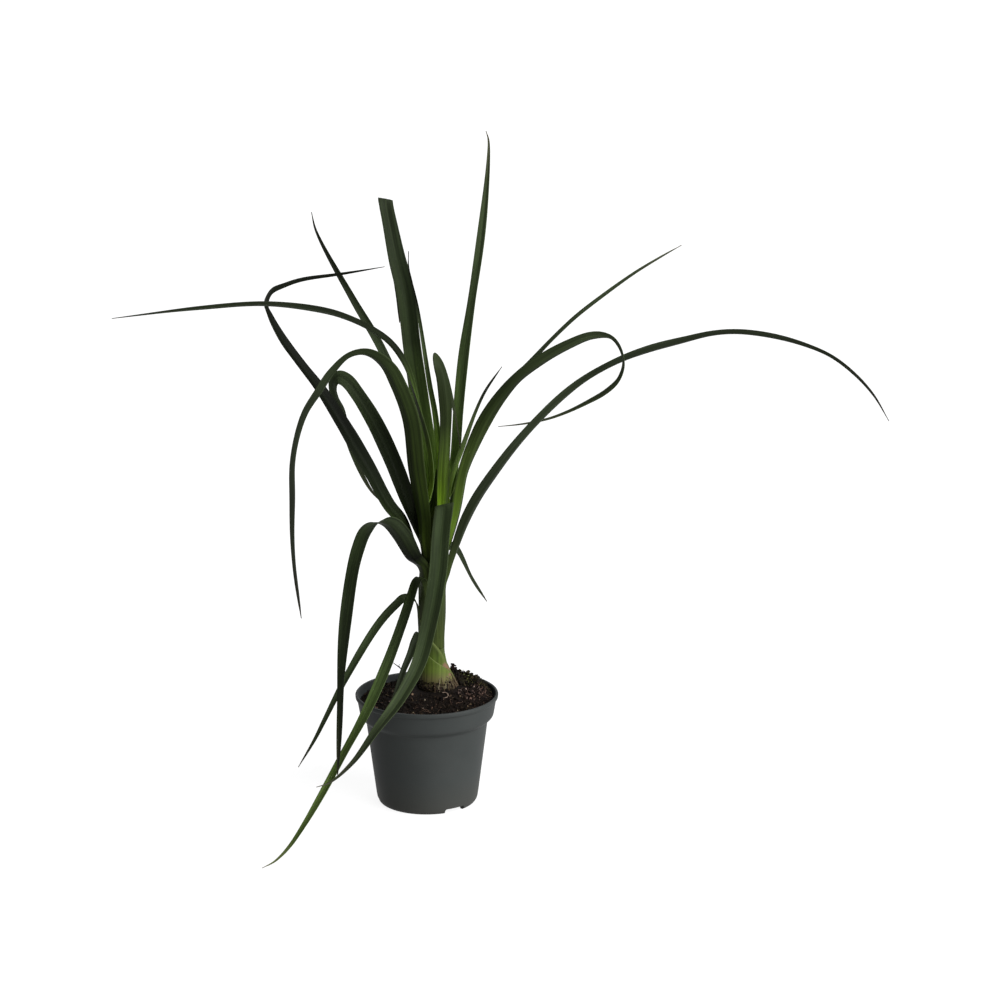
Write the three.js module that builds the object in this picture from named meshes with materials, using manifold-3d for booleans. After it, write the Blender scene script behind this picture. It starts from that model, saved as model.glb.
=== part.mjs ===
// A young ponytail palm in a plastic nursery pot, in millimetres, +Z up.
// The origin is the middle of the pot's base, on the surface that the pot stands on.
// +X is to the right and -Y towards the viewer.
import * as THREE from "three";
import { mergeVertices } from "three/addons/utils/BufferGeometryUtils.js";
import Module from "manifold-3d";

const wasm = await Module();
wasm.setup();

// ---- driving dimensions ------------------------------------------------------------------

const GAP = 0.3; // clearance between neighbouring solids

const POT_HEIGHT = 94;
const POT_RIM_RADIUS = 60;
const POT_BASE_RADIUS = 40.5;
const POT_WALL = 1.2;
const POT_FLOOR_HEIGHT = 3.4; // underside of the raised floor
const POT_SIDES = 48;

const NOTCH_AZIMUTHS = [-55, 65, 185]; // degrees, three drainage notches in the base edge
const NOTCH_WIDTH = 26; // degrees
const NOTCH_HEIGHT = 4;
const DRAIN_WIDTH = 18; // degrees, the slot through the floor behind each notch

const ROUND_SIDES = 32; // facets round the trunk and across the soil
const SOIL_RINGS = 6;
const SOIL_EDGE = 87; // height of the soil where it meets the wall
const SOIL_MOUND = 11; // rise from the wall to the trunk
const SOIL_HEAP = 8; // extra rise at the back right
const SOIL_HEAP_AZIMUTH = 40;
const SOIL_ROUGHNESS = 1.2;

const BLADE_THICKNESS = 0.8;
const BLADE_TIP_WIDTH = 1.2;
const TAPER_POWER = 0.65; // below 1 the blade keeps its width for longer and then comes to its tip
const STEPS = 3; // stations for each stretch of a leaf's route
const FOOT_CHANNEL = 40; // degrees, slope of each half of the blade at the foot
const BLADE_CHANNEL = 22; // the same along the free blade
const FOOT_WIDTH_SHARE = 0.65; // the foot is this much of the full width
const NECK_SHARE = 0.2; // share of the length in which the blade widens above its foot
const FOOT_SHARE = 0.12; // share of the leaf's length that clasps the stem
const CREASE = 14; // mm, how strongly a tight bend flattens the channel
const FOOT_STAND_OFF = 0.85; // from the trunk to the middle of the foot's thickness
const FOOT_RISE = 14; // the foot follows the trunk upwards for this far
const FOOT_LEAN = 2.2; // and leans out by this much

// ---- meshes and solids -------------------------------------------------------------------

function toSolid(geometry) {
  const plain = new THREE.BufferGeometry();
  plain.setAttribute("position", geometry.getAttribute("position"));
  if (geometry.index) plain.setIndex(geometry.index);
  const merged = mergeVertices(plain, 1e-4);
  return new wasm.Manifold(
    new wasm.Mesh({
      numProp: 3,
      vertProperties: merged.attributes.position.array,
      triVerts: new Uint32Array(merged.index.array),
    }),
  );
}

function toGeometry(solid) {
  const { vertProperties, triVerts } = solid.getMesh();
  const geometry = new THREE.BufferGeometry();
  geometry.setAttribute("position", new THREE.BufferAttribute(vertProperties, 3));
  geometry.setIndex(new THREE.BufferAttribute(triVerts, 1));
  return geometry;
}

// A closed solid through equal rings of points, with a fan of triangles at each end.
// The two halves of a ring are split the opposite way, so a thin blade's faces match.
function loft(rings, startCentre, endCentre) {
  const sides = rings[0].length;
  const points = [...rings.flat(), startCentre, endCentre];
  const start = points.length - 2;
  const end = points.length - 1;
  const lastRing = (rings.length - 1) * sides;
  const faces = [];
  for (let side = 0; side < sides; side++) {
    const next = (side + 1) % sides;
    faces.push(start, next, side);
    faces.push(end, lastRing + side, lastRing + next);
    for (let ring = 0; ring + 1 < rings.length; ring++) {
      const a = ring * sides + side;
      const b = ring * sides + next;
      const c = a + sides;
      const d = b + sides;
      if (side < sides / 2) faces.push(a, b, d, a, d, c);
      else faces.push(a, b, c, b, d, c);
    }
  }
  const geometry = new THREE.BufferGeometry().setFromPoints(points);
  geometry.setIndex(faces);
  return geometry;
}

function part(name, geometry, material) {
  const mesh = new THREE.Mesh(geometry, material);
  mesh.name = name;
  geometry.computeVertexNormals();
  return mesh;
}

const radians = THREE.MathUtils.degToRad;
const lerp = THREE.MathUtils.lerp;
const smoothstep = THREE.MathUtils.smoothstep;

// Straight-line reading of a table of rows, by its first column.
function readTable(table, key) {
  const last = table[table.length - 1];
  if (key >= last[0]) return last;
  const above = Math.max(1, table.findIndex((row) => row[0] > key));
  const low = table[above - 1];
  const high = table[above];
  const share = Math.max(0, (key - low[0]) / (high[0] - low[0]));
  return low.map((value, column) => lerp(value, high[column], share));
}

// ---- pot ---------------------------------------------------------------------------------

const BAND_BOTTOM = [51.2, 71]; // radius and height where the body steps out to the band
const BAND_SHOULDER = [56, 75];
const BAND_TOP = [58.5, 90];
const BODY_BOTTOM = [43, 6.8];
const PAD_RADIUS = 15.5; // the middle of the floor is down at the surface
const CHANNEL_INNER = 18; // the raised ring of the floor starts here
const CHANNEL_OUTER = 36;
const BASE_RING_INNER = 38;

// Radius and height of the pot's inner face, from the middle of the floor to the rim.
const POT_INSIDE = [
  [0, POT_WALL],
  [PAD_RADIUS - 1, POT_WALL],
  [CHANNEL_INNER - 1, POT_FLOOR_HEIGHT + POT_WALL],
  [POT_BASE_RADIUS - 1, POT_FLOOR_HEIGHT + POT_WALL],
  [BODY_BOTTOM[0] - POT_WALL, BODY_BOTTOM[1]],
  [BAND_BOTTOM[0] - POT_WALL, BAND_BOTTOM[1]],
  [BAND_SHOULDER[0] - POT_WALL, BAND_SHOULDER[1]],
  [BAND_TOP[0] - POT_WALL, BAND_TOP[1]],
];

function ringSector(innerRadius, outerRadius, azimuth, width, bottom, top) {
  const from = radians(azimuth - width / 2);
  const to = radians(azimuth + width / 2);
  const outline = new THREE.Shape();
  outline.absarc(0, 0, outerRadius, from, to, false);
  outline.absarc(0, 0, innerRadius, to, from, true);
  const geometry = new THREE.ExtrudeGeometry(outline, {
    depth: top - bottom,
    bevelEnabled: false,
    curveSegments: 5,
  });
  return toSolid(geometry.translate(0, 0, bottom));
}

function potGeometry() {
  const profile = [
    [0, 0],
    [PAD_RADIUS, 0],
    [CHANNEL_INNER, POT_FLOOR_HEIGHT],
    [CHANNEL_OUTER, POT_FLOOR_HEIGHT],
    [BASE_RING_INNER, 0],
    [POT_BASE_RADIUS, 0],
    [POT_BASE_RADIUS + 1.7, 2.4],
    BODY_BOTTOM,
    BAND_BOTTOM,
    BAND_SHOULDER,
    BAND_TOP,
    [POT_RIM_RADIUS - 0.2, BAND_TOP[1] + 0.5],
    [POT_RIM_RADIUS, POT_HEIGHT - 1.6],
    [POT_RIM_RADIUS - 0.5, POT_HEIGHT - 0.3],
    [POT_RIM_RADIUS - 1.2, POT_HEIGHT],
    [POT_RIM_RADIUS - 2, POT_HEIGHT - 0.5],
    ...POT_INSIDE.toReversed(),
  ];
  const turned = new THREE.LatheGeometry(
    profile.map(([radius, height]) => new THREE.Vector2(radius, height)),
    POT_SIDES,
  );
  let pot = toSolid(turned.rotateX(Math.PI / 2));
  for (const azimuth of NOTCH_AZIMUTHS) {
    const notch = [CHANNEL_OUTER - 1, POT_BASE_RADIUS + 8, azimuth, NOTCH_WIDTH];
    const drain = [CHANNEL_OUTER - 6, BASE_RING_INNER - 0.5, azimuth, DRAIN_WIDTH];
    pot = pot.subtract(ringSector(...notch, -1, NOTCH_HEIGHT));
    pot = pot.subtract(ringSector(...drain, -1, POT_FLOOR_HEIGHT + POT_WALL + 1));
  }
  return toGeometry(pot);
}

// ---- trunk -------------------------------------------------------------------------------

// Height, centre x and y, and radius: the root in the soil, the swollen base, the stem,
// and the growing point that tapers up inside the crown.
const TRUNK = [
  [62, 10, 7, 4],
  [70, 10, 7, 8.5],
  [82, 9.8, 7, 13.8],
  [92, 9.6, 7, 16.8],
  [99, 9, 7, 16.5],
  [105, 8.2, 7, 14.8],
  [111, 7.2, 6.8, 12.9],
  [118, 5.9, 6.5, 11],
  [127, 4.9, 6.2, 10.3],
  [140, 4.5, 5.8, 10.1],
  [160, 4.6, 5.4, 10.5],
  [185, 4.8, 5, 10.2],
  [202, 5.6, 5, 9.2],
  [220, 6.8, 5, 7.8],
  [240, 8.2, 5, 6.2],
  [260, 9.4, 5, 4.6],
  [276, 10.2, 5, 3.2],
  [284, 10.6, 5, 1.6],
];
const HOLE_RIM = 98; // height of the soil round the trunk

function trunkRing(z, grow) {
  const [, x, y, radius] = readTable(TRUNK, z);
  return Array.from({ length: ROUND_SIDES }, (_, side) => {
    const angle = (side * 2 * Math.PI) / ROUND_SIDES;
    const reach = radius + grow;
    return new THREE.Vector3(x + reach * Math.cos(angle), y + reach * Math.sin(angle), z);
  });
}

function trunkGeometry() {
  const rings = TRUNK.map(([z]) => trunkRing(z, 0));
  const [rootHeight, rootX, rootY] = TRUNK[0];
  const [topHeight, topX, topY, topRadius] = TRUNK[TRUNK.length - 1];
  const root = new THREE.Vector3(rootX, rootY, rootHeight);
  const top = new THREE.Vector3(topX, topY, topHeight + topRadius);
  return loft(rings, root, top);
}

// ---- soil --------------------------------------------------------------------------------

function soilGeometry() {
  const wall = POT_INSIDE.map(([radius, height]) => [height, radius]);
  const circle = (radius, height) =>
    Array.from({ length: ROUND_SIDES }, (_, side) => {
      const angle = (side * 2 * Math.PI) / ROUND_SIDES;
      const z = typeof height === "function" ? height(angle) : height;
      const r = typeof radius === "function" ? radius(z) : radius;
      return new THREE.Vector3(r * Math.cos(angle), r * Math.sin(angle), z);
    });

  const edgeHeight = (angle) => SOIL_EDGE + 1.5 * Math.cos(angle - radians(SOIL_HEAP_AZIMUTH));
  const edgeRadius = (z) => readTable(wall.slice(4), z)[1] - GAP;
  const sides = POT_INSIDE.slice(1, -1).map(([radius, height]) => circle(radius - GAP, height + GAP));
  const edge = circle(edgeRadius, edgeHeight);
  const mouth = trunkRing(HOLE_RIM, GAP);

  const top = [];
  for (let ring = 1; ring < SOIL_RINGS; ring++) {
    const share = ring / SOIL_RINGS; // 0 at the wall, 1 at the trunk
    const row = edge.map((outer, side) => {
      const point = outer.clone().lerp(mouth[side], share);
      const angle = (side * 2 * Math.PI) / ROUND_SIDES;
      const lobe = Math.max(0, Math.cos(angle - radians(SOIL_HEAP_AZIMUTH)));
      const heap = SOIL_HEAP * lobe * Math.sin(Math.PI * Math.min(1, share * 1.4));
      const lumps = Math.sin(side * 2.4 + ring * 1.9) * Math.cos(side * 1.3 - ring * 2.7);
      point.z = edge[side].z + SOIL_MOUND * smoothstep(share, 0, 1) + Math.max(0, heap);
      point.z += SOIL_ROUGHNESS * lumps;
      return point;
    });
    top.push(row);
  }
  const hole = TRUNK.filter(([z]) => z < HOLE_RIM)
    .toReversed()
    .map(([z]) => trunkRing(z, GAP));
  const [rootHeight, rootX, rootY] = TRUNK[0];
  for (const point of hole[hole.length - 1]) point.z -= GAP;

  const floor = new THREE.Vector3(0, 0, POT_WALL + GAP);
  const pit = new THREE.Vector3(rootX, rootY, rootHeight - GAP);
  return loft([...sides, edge, ...top, mouth, ...hole], floor, pit);
}

// ---- leaves ------------------------------------------------------------------------------

// Each leaf clasps the trunk at a height and an azimuth (degrees from +X towards +Y) and then
// runs through its route. width is the widest place of the blade, full the share of the length
// where the taper to the tip begins, and twist the turn of the blade about its own line, as
// pairs of a share of the length and degrees.
const LEAVES = [
  {
    name: "leaf_short_low",
    azimuth: 220,
    height: 132,
    width: 7,
    full: 0.3,
    twist: [[0, 0], [1, 0]],
    route: [
      [-9, -13, 143], [-13, -18, 133], [-18.6, -25, 121], [-22, -31, 112], [-26.3, -43, 103],
      [-32, -54, 95],
    ],
  },
  {
    name: "leaf_low_left",
    azimuth: 192,
    height: 158,
    width: 8,
    full: 0.45,
    twist: [[0, 0], [1, 0]],
    route: [
      [-13, -3, 177.5], [-18.5, -6, 178], [-23.5, -9, 174], [-33.5, -13, 164.3],
      [-44.5, -17, 150], [-66.4, -24, 113.6], [-83, -30, 81.4], [-92.4, -33, 63.2],
      [-106, -38, 41],
    ],
  },
  {
    name: "leaf_floor",
    azimuth: 242,
    height: 174,
    width: 12,
    full: 0.35,
    twist: [[0, 0], [0.3, -4], [0.6, -8], [1, -18]],
    route: [
      [-4, -14, 197.5], [-7.2, -17, 195.5], [-10.4, -21, 186.5], [-17, -29, 167],
      [-30.8, -45, 132], [-48, -63, 96], [-66.3, -82, 66], [-82.5, -102, 40],
      [-94.5, -119, 23], [-106.4, -132, 8],
      [-117, -150, 2.2], [-126, -162, 1.4],
    ],
  },
  {
    name: "leaf_front",
    azimuth: 286,
    height: 182,
    width: 16,
    full: 0.48,
    twist: [[0, 0], [0.74, 0], [0.82, 22], [0.88, 28], [1, 34]],
    route: [
      [12, -14, 225], [14, -20, 248], [16, -26, 259], [16, -31, 264], [16, -36, 260],
      [14, -42, 244], [11.5, -49, 212], [5, -56, 175], [-4.2, -64, 140], [-19, -78, 115],
      [-37.6, -94, 93], [-56.4, -108, 70], [-74.5, -118, 56.5], [-85, -124, 55],
    ],
  },
  {
    name: "leaf_long_right",
    azimuth: 325,
    height: 176,
    width: 13,
    full: 0.3,
    twist: [[0, 0], [0.14, -18], [0.25, -9], [1, -9]],
    route: [
      [20, -5, 205], [25.5, -6, 223], [32.6, -7, 243], [42.6, -8, 263], [56.5, -8, 284],
      [74, -6, 307], [92, -3, 327], [114, 0, 348], [133, 3, 362], [158, 7, 375],
      [183, 10, 384], [212, 14, 391], [235, 16, 396], [255, 18, 397], [280, 20, 394],
      [307, 22, 387], [333, 24, 376], [354, 26, 360], [370.4, 28, 342], [384, 30, 320],
    ],
  },
  {
    name: "leaf_arched",
    azimuth: 233,
    height: 190,
    width: 17,
    full: 0.4,
    twist: [
      [0, 0], [0.05, 26], [0.1, 34], [0.2, 37], [0.27, 25], [0.33, -9], [0.38, -13], [0.8, -13],
      [1, -30],
    ],
    route: [
      [-9.6, -17, 216], [-19.2, -28, 237.4], [-28, -36, 249.5], [-37, -44, 253],
      [-46, -51, 247], [-51.8, -58, 234], [-56.3, -64, 217], [-61.8, -75, 181],
      [-65.4, -84, 143],
      [-67, -92, 106], [-69.5, -100, 56],
    ],
  },
  {
    name: "leaf_hanging_right",
    azimuth: 70,
    height: 182,
    width: 8,
    full: 0.4,
    twist: [[0, 0], [0.4, 8], [0.7, 14], [1, 34]],
    route: [[14, 20, 213], [20, 23, 215], [25, 26, 211], [29.6, 30, 201.5], [37.3, 40, 182], [50.2, 52, 158]],
  },
  {
    name: "leaf_returning",
    azimuth: 198,
    height: 196,
    width: 14,
    full: 0.35,
    twist: [
      [0, 0], [0.14, -62], [0.24, -70], [0.34, -72], [0.38, -63], [0.5, -58], [0.6, -57],
      [0.66, -34], [0.7, -14], [0.72, -6], [0.76, -3], [1, 4],
    ],
    route: [
      [-18.6, -1, 240.5], [-30.8, -2, 256.6], [-48, -3, 290.5], [-66.8, -4, 324], [-84.8, -4, 353.4],
      [-100.3, -3, 374], [-116.2, 0, 396], [-125.8, 5, 413], [-129, 10, 422], [-125, 17, 431],
      [-114, 24, 435.6], [-100, 32, 438.8], [-70, 42, 441.5], [-34, 56, 445],
    ],
  },
  {
    name: "leaf_looped",
    azimuth: 325,
    height: 198,
    width: 14,
    full: 0.3,
    twist: [
      [0, 0], [0.1, -8], [0.2, -8], [0.26, -26], [0.32, -38], [0.42, -24], [0.47, -32],
      [0.6, -27], [0.67, 36], [0.77, 42], [1, 50],
    ],
    route: [
      [21, -7, 231], [26, -9, 253], [32, -12, 286], [40, -14, 309], [50, -16, 331],
      [62, -18, 350], [76, -20, 366.5], [96, -22, 382.3], [117, -24, 394.4], [135, -26, 401.8],
      [149, -27, 401.4], [157, -25, 393.2], [161, -21, 380], [157, -14, 364.6], [147.2, -6, 352.8],
      [132.5, 3, 342], [115.5, 10, 332], [100, 16, 325], [82, 22, 319.8], [60, 29, 315.5],
    ],
  },
  {
    name: "leaf_upper_right",
    azimuth: 35,
    height: 204,
    width: 9,
    full: 0.4,
    twist: [[0, 0], [0.6, -6], [0.75, 2], [0.85, 16], [0.95, 34], [1, 36]],
    route: [
      [21, 12, 249], [27, 16, 273], [40, 21, 306], [58, 27, 335], [73, 34, 354],
      [87, 39, 368], [105, 46, 386], [124, 53, 403], [147, 60, 420], [174, 69, 438],
      [197, 76, 451], [213, 82, 459],
    ],
  },
  {
    name: "leaf_broad_left",
    azimuth: 235,
    height: 204,
    width: 18,
    full: 0.3,
    twist: [[0, 0], [0.38, 9], [0.44, -1], [0.5, 0], [0.54, 9], [0.7, 12], [0.8, 15], [0.9, 18], [1, 40]],
    route: [
      [-1.8, -8, 244], [-7.4, -13, 288], [-11.6, -19, 331], [-21.4, -26, 362], [-30, -31, 379],
      [-45, -36, 390], [-59, -41, 388.5], [-72.4, -45, 375.6], [-82.6, -48, 360.6],
      [-92.9, -51, 345], [-99.6, -53, 327], [-103.8, -55, 305], [-104.6, -56, 275],
      [-105.3, -57, 244], [-104.2, -57, 217], [-99.8, -56, 175],
    ],
  },
  {
    name: "leaf_inner_left",
    azimuth: 172,
    height: 210,
    width: 15.5,
    full: 0.45,
    twist: [
      [0, 0], [0.1, -18], [0.18, -44], [0.24, -56], [0.36, -59], [0.43, -52], [0.5, -47],
      [0.6, -58], [0.9, -80], [1, -80],
    ],
    route: [
      [-10.8, 4, 243], [-18.6, 6, 268], [-27, 9, 290], [-41.1, 11, 321.3], [-55.4, 14, 345],
      [-64.8, 17, 356.8], [-71.8, 19, 359.2], [-75.6, 20, 354.5], [-74.4, 21, 343.5], [-69, 22, 332],
      [-62, 22, 300], [-47, 19, 266], [-36, 16, 253],
    ],
  },
  {
    name: "leaf_upper_left",
    azimuth: 155,
    height: 229,
    width: 10,
    full: 0.4,
    twist: [[0, 0], [0.4, -14], [0.55, -34], [0.65, -52], [0.8, -60], [1, -64]],
    route: [
      [-3, 9, 276], [-17.6, 17.6, 339], [-37.5, 32, 382.5], [-60.6, 45, 420.6], [-90.6, 62, 473.6],
      [-94.6, 66, 489],
    ],
  },
  {
    name: "leaf_short_right",
    azimuth: 8,
    height: 224,
    width: 8,
    full: 0.4,
    twist: [[0, 0], [0.3, -36], [0.6, -48], [1, -60]],
    route: [[19, 4, 262], [24, 5, 283], [31, 7, 303], [43, 13, 335], [50, 17, 349], [63, 25, 367]],
  },
  {
    name: "leaf_long_left",
    azimuth: 200,
    height: 230,
    width: 13,
    full: 0.3,
    twist: [[0, 0], [0.2, -10], [0.4, -34], [0.6, -38], [1, -44]],
    route: [
      [5, -1, 277], [2, -4, 311], [-4, -7, 337], [-14.4, -10, 372.6], [-26.4, -12, 392.2],
      [-40.6, -14, 404], [-63, -15, 415], [-83, -15, 420.7], [-127, -14, 425.6], [-180, -12, 422],
      [-252, -8, 413],
    ],
  },
  {
    name: "leaf_centre",
    azimuth: 305,
    height: 234,
    width: 13,
    full: 0.5,
    twist: [[0, 0], [0.5, 0], [0.6, 4], [0.65, 20], [0.7, 40], [1, 40]],
    route: [
      [15, -4, 268], [16, -5, 293], [17.4, -5, 316], [17.7, -5, 339], [14.8, -4, 364],
      [11, -2, 377], [11, 1, 379], [13.4, 4, 375.4], [18.4, 4, 361], [22.2, 3, 345],
      [27, 1, 318], [29, 0, 303],
    ],
  },
  {
    name: "leaf_upright",
    azimuth: 105,
    height: 236,
    width: 16.5,
    full: 0.55,
    twist: [[0, 0], [0.5, 0], [0.6, 4], [0.7, 6], [1, 0]],
    route: [
      [5, 20, 274], [-2.6, 23, 322], [-10.8, 24, 381], [-16.6, 26, 430], [-23, 27, 456],
      [-28, 30, 481], [-31.4, 32, 499], [-32, 35, 504], [-32, 39, 500], [-29, 43, 481],
      [-26, 48, 451], [-23, 50, 422], [-22, 51, 399],
    ],
  },
  {
    name: "leaf_tallest",
    azimuth: 45,
    height: 242,
    width: 12,
    full: 0.5,
    twist: [[0, 0], [0.3, 5], [0.4, 3], [0.5, -2], [0.6, 2], [0.7, 10], [0.8, 24], [1, 24]],
    route: [
      [20, 12, 265], [25, 15, 294], [28, 18, 336], [32, 22, 375], [38, 26, 416],
      [47, 32, 481], [52, 37, 535], [52, 38, 552], [50, 37, 559],
    ],
  },
  {
    name: "leaf_slender",
    azimuth: 80,
    height: 254,
    width: 5.5,
    full: 0.3,
    twist: [[0, 0], [1, 0]],
    route: [[11, 12, 299], [8, 14, 330], [4, 16, 352], [-6, 20, 417], [-13, 22, 450], [-13, 23, 463]],
  },
];

// Blade directions carried along the line with no turning of their own.
function carrySides(points, tangents, firstSide) {
  const sides = [firstSide.clone().addScaledVector(tangents[0], -firstSide.dot(tangents[0])).normalize()];
  for (let i = 1; i < points.length; i++) {
    const chord = points[i].clone().sub(points[i - 1]);
    const chordLength = chord.lengthSq();
    const mirror = (v) => v.clone().addScaledVector(chord, (-2 * v.dot(chord)) / chordLength);
    const side = mirror(sides[i - 1]);
    const change = tangents[i].clone().sub(mirror(tangents[i - 1]));
    const changeLength = change.lengthSq();
    if (changeLength > 1e-12) side.addScaledVector(change, (-2 * side.dot(change)) / changeLength);
    sides.push(side.addScaledVector(tangents[i], -side.dot(tangents[i])).normalize());
  }
  return sides;
}

function bladeWidth(leaf, share) {
  const taper = Math.min(1, (1 - share) / (1 - leaf.full));
  const neck = lerp(FOOT_WIDTH_SHARE, 1, smoothstep(share, 0, NECK_SHARE));
  return Math.max(BLADE_TIP_WIDTH, leaf.width * neck * taper ** TAPER_POWER);
}

// Distance from the stem's axis to the middle of a foot. Its channel straddles the stem: a wide
// foot rests its two halves on the stem, and a narrow one its two edges.
function footReach(stemRadius, halfWidth) {
  const slope = radians(FOOT_CHANNEL);
  const clear = stemRadius + FOOT_STAND_OFF;
  const depth = halfWidth * Math.sin(slope);
  const onHalves = clear / Math.cos(slope);
  const onEdges = depth + Math.sqrt(clear ** 2 - (halfWidth * Math.cos(slope)) ** 2);
  const apex = halfWidth > clear * Math.tan(slope) ? onHalves : onEdges;
  return apex - depth / 2;
}

function leafGeometry(leaf) {
  const angle = radians(leaf.azimuth);
  const outward = new THREE.Vector3(Math.cos(angle), Math.sin(angle), 0);
  const sideways = new THREE.Vector3(-Math.sin(angle), Math.cos(angle), 0);
  const [, axisX, axisY, stemRadius] = readTable(TRUNK, leaf.height);
  const reach = footReach(stemRadius, (leaf.width * FOOT_WIDTH_SHARE) / 2);
  const foot = new THREE.Vector3(axisX, axisY, leaf.height).addScaledVector(outward, reach);
  const shoulder = foot.clone().addScaledVector(outward, FOOT_LEAN);
  shoulder.z += FOOT_RISE;

  const route = leaf.route.map((place) => new THREE.Vector3(...place));
  const line = new THREE.CatmullRomCurve3([foot, shoulder, ...route], false, "centripetal");
  const stations = (route.length + 1) * STEPS;
  const points = line.getPoints(stations);
  const tangents = points.map((_, i) => line.getTangent(i / stations));
  const sides = carrySides(points, tangents, sideways);

  const along = [0];
  for (let i = 1; i < points.length; i++) along.push(along[i - 1] + points[i].distanceTo(points[i - 1]));
  const length = along[along.length - 1];

  const rings = points.map((point, i) => {
    const share = along[i] / length;
    const [, twist] = readTable(leaf.twist, share);
    const side = sides[i].clone().applyAxisAngle(tangents[i], radians(twist));
    const inner = tangents[i].clone().cross(side); // towards the upper face of the leaf
    const before = Math.max(0, i - 1);
    const after = Math.min(points.length - 1, i + 1);
    const bend = tangents[after].angleTo(tangents[before]) / (along[after] - along[before]);
    const channel = lerp(FOOT_CHANNEL, BLADE_CHANNEL, smoothstep(share, 0, FOOT_SHARE));
    const slope = radians(channel / (1 + (CREASE * bend) ** 2));
    const halfWidth = bladeWidth(leaf, share) / 2;
    const across = (edge, face) =>
      point
        .clone()
        .addScaledVector(side, edge * halfWidth * Math.cos(slope))
        .addScaledVector(inner, (Math.abs(edge) - 0.5) * halfWidth * Math.sin(slope))
        .addScaledVector(inner, (face * BLADE_THICKNESS) / 2 / Math.cos(slope));
    return [across(1, 1), across(0, 1), across(-1, 1), across(-1, -1), across(0, -1), across(1, -1)];
  });
  return loft(rings, points[0], points[points.length - 1]);
}

// ---- the potted plant --------------------------------------------------------------------

const plastic = new THREE.MeshStandardMaterial({ color: 0x4a524f, roughness: 0.55, metalness: 0 });
const peat = new THREE.MeshStandardMaterial({ color: 0x2a1f19, roughness: 0.95, metalness: 0 });
const bark = new THREE.MeshStandardMaterial({ color: 0x5a6a35, roughness: 0.7, metalness: 0 });

const plant = new THREE.Group();
plant.add(part("pot", potGeometry(), plastic));
plant.add(part("soil", soilGeometry(), peat));
plant.add(part("trunk", trunkGeometry(), bark));
for (const leaf of LEAVES) {
  const green = new THREE.MeshStandardMaterial({ color: 0x2f4a2a, roughness: 0.5, metalness: 0 });
  plant.add(part(leaf.name, leafGeometry(leaf), green));
}

export default plant;
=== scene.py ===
# The look of a young ponytail palm in a plastic nursery pot, in metres, +Z up.
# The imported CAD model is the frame. Finer pieces stand for its pot, soil, trunk and leaves.
import math

import bmesh
import bpy
import numpy as np
from mathutils import Euler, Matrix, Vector, noise


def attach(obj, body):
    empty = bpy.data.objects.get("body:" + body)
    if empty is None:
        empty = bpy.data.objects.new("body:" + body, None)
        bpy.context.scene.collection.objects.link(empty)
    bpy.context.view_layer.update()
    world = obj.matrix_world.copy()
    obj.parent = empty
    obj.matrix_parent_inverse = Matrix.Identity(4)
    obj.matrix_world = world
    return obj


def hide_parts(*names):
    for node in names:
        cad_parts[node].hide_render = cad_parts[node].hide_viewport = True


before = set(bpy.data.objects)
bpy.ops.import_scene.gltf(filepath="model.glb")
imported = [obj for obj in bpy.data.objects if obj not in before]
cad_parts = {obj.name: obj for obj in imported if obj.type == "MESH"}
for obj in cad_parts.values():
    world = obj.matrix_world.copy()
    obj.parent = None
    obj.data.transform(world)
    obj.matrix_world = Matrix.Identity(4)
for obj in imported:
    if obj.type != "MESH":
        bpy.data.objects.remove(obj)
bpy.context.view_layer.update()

MM = 0.001
SEED = 7
CAMERA_PLACE = (0.06139, -2.13455, 0.79223)
CAMERA_PITCH = 76  # degrees; 90 looks level
CAMERA_LENS = 96.12
FLOOR_REACH = 30
FLOOR_HEIGHT = -0.0002  # just under the pot's base
FLOOR_GREY = (0.12, 0.12, 0.12)
FLOOR_GLOW = 0.88

# ---- camera, floor and light ----


def put(name, data):
    """An object in the scene."""
    thing = bpy.data.objects.new(name, data)
    bpy.context.scene.collection.objects.link(thing)
    return thing


def look_through_camera():
    data = bpy.data.cameras.new("camera")
    data.sensor_width = 36
    data.lens = CAMERA_LENS
    data.clip_end = 100
    camera = put("camera", data)
    camera.location = CAMERA_PLACE
    camera.rotation_euler = Euler((math.radians(CAMERA_PITCH), 0, 0))
    bpy.context.scene.camera = camera


def lay_floor():
    """A wide pale floor that glows like a light table, so shadows on it stay faint."""
    mesh = bpy.data.meshes.new("floor")
    corners = [(-1, -1, 0), (1, -1, 0), (1, 1, 0), (-1, 1, 0)]
    mesh.from_pydata([Vector(corner) * FLOOR_REACH for corner in corners], [], [(0, 1, 2, 3)])
    floor = put("floor", mesh)
    floor.location.z = FLOOR_HEIGHT
    material = bpy.data.materials.new("pale_floor")
    material.use_nodes = True
    shader = material.node_tree.nodes["Principled BSDF"]
    shader.inputs["Base Color"].default_value = (*FLOOR_GREY, 1)
    shader.inputs["Emission Color"].default_value = (1, 1, 1, 1)
    shader.inputs["Emission Strength"].default_value = FLOOR_GLOW
    shader.inputs["Roughness"].default_value = 1
    shader.inputs["Specular IOR Level"].default_value = 0
    mesh.materials.append(material)


def shine(name, azimuth, elevation, strength, softness):
    """A soft sun from an azimuth, in degrees from +X towards +Y, and an elevation."""
    light = bpy.data.lights.new(name, "SUN")
    light.energy = strength
    light.angle = math.radians(softness)
    lamp = put(name, light)
    flat = math.cos(math.radians(elevation))
    towards = Vector((*(flat * ray(math.radians(azimuth))), math.sin(math.radians(elevation))))
    lamp.rotation_euler = towards.to_track_quat("Z", "Y").to_euler()


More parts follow.
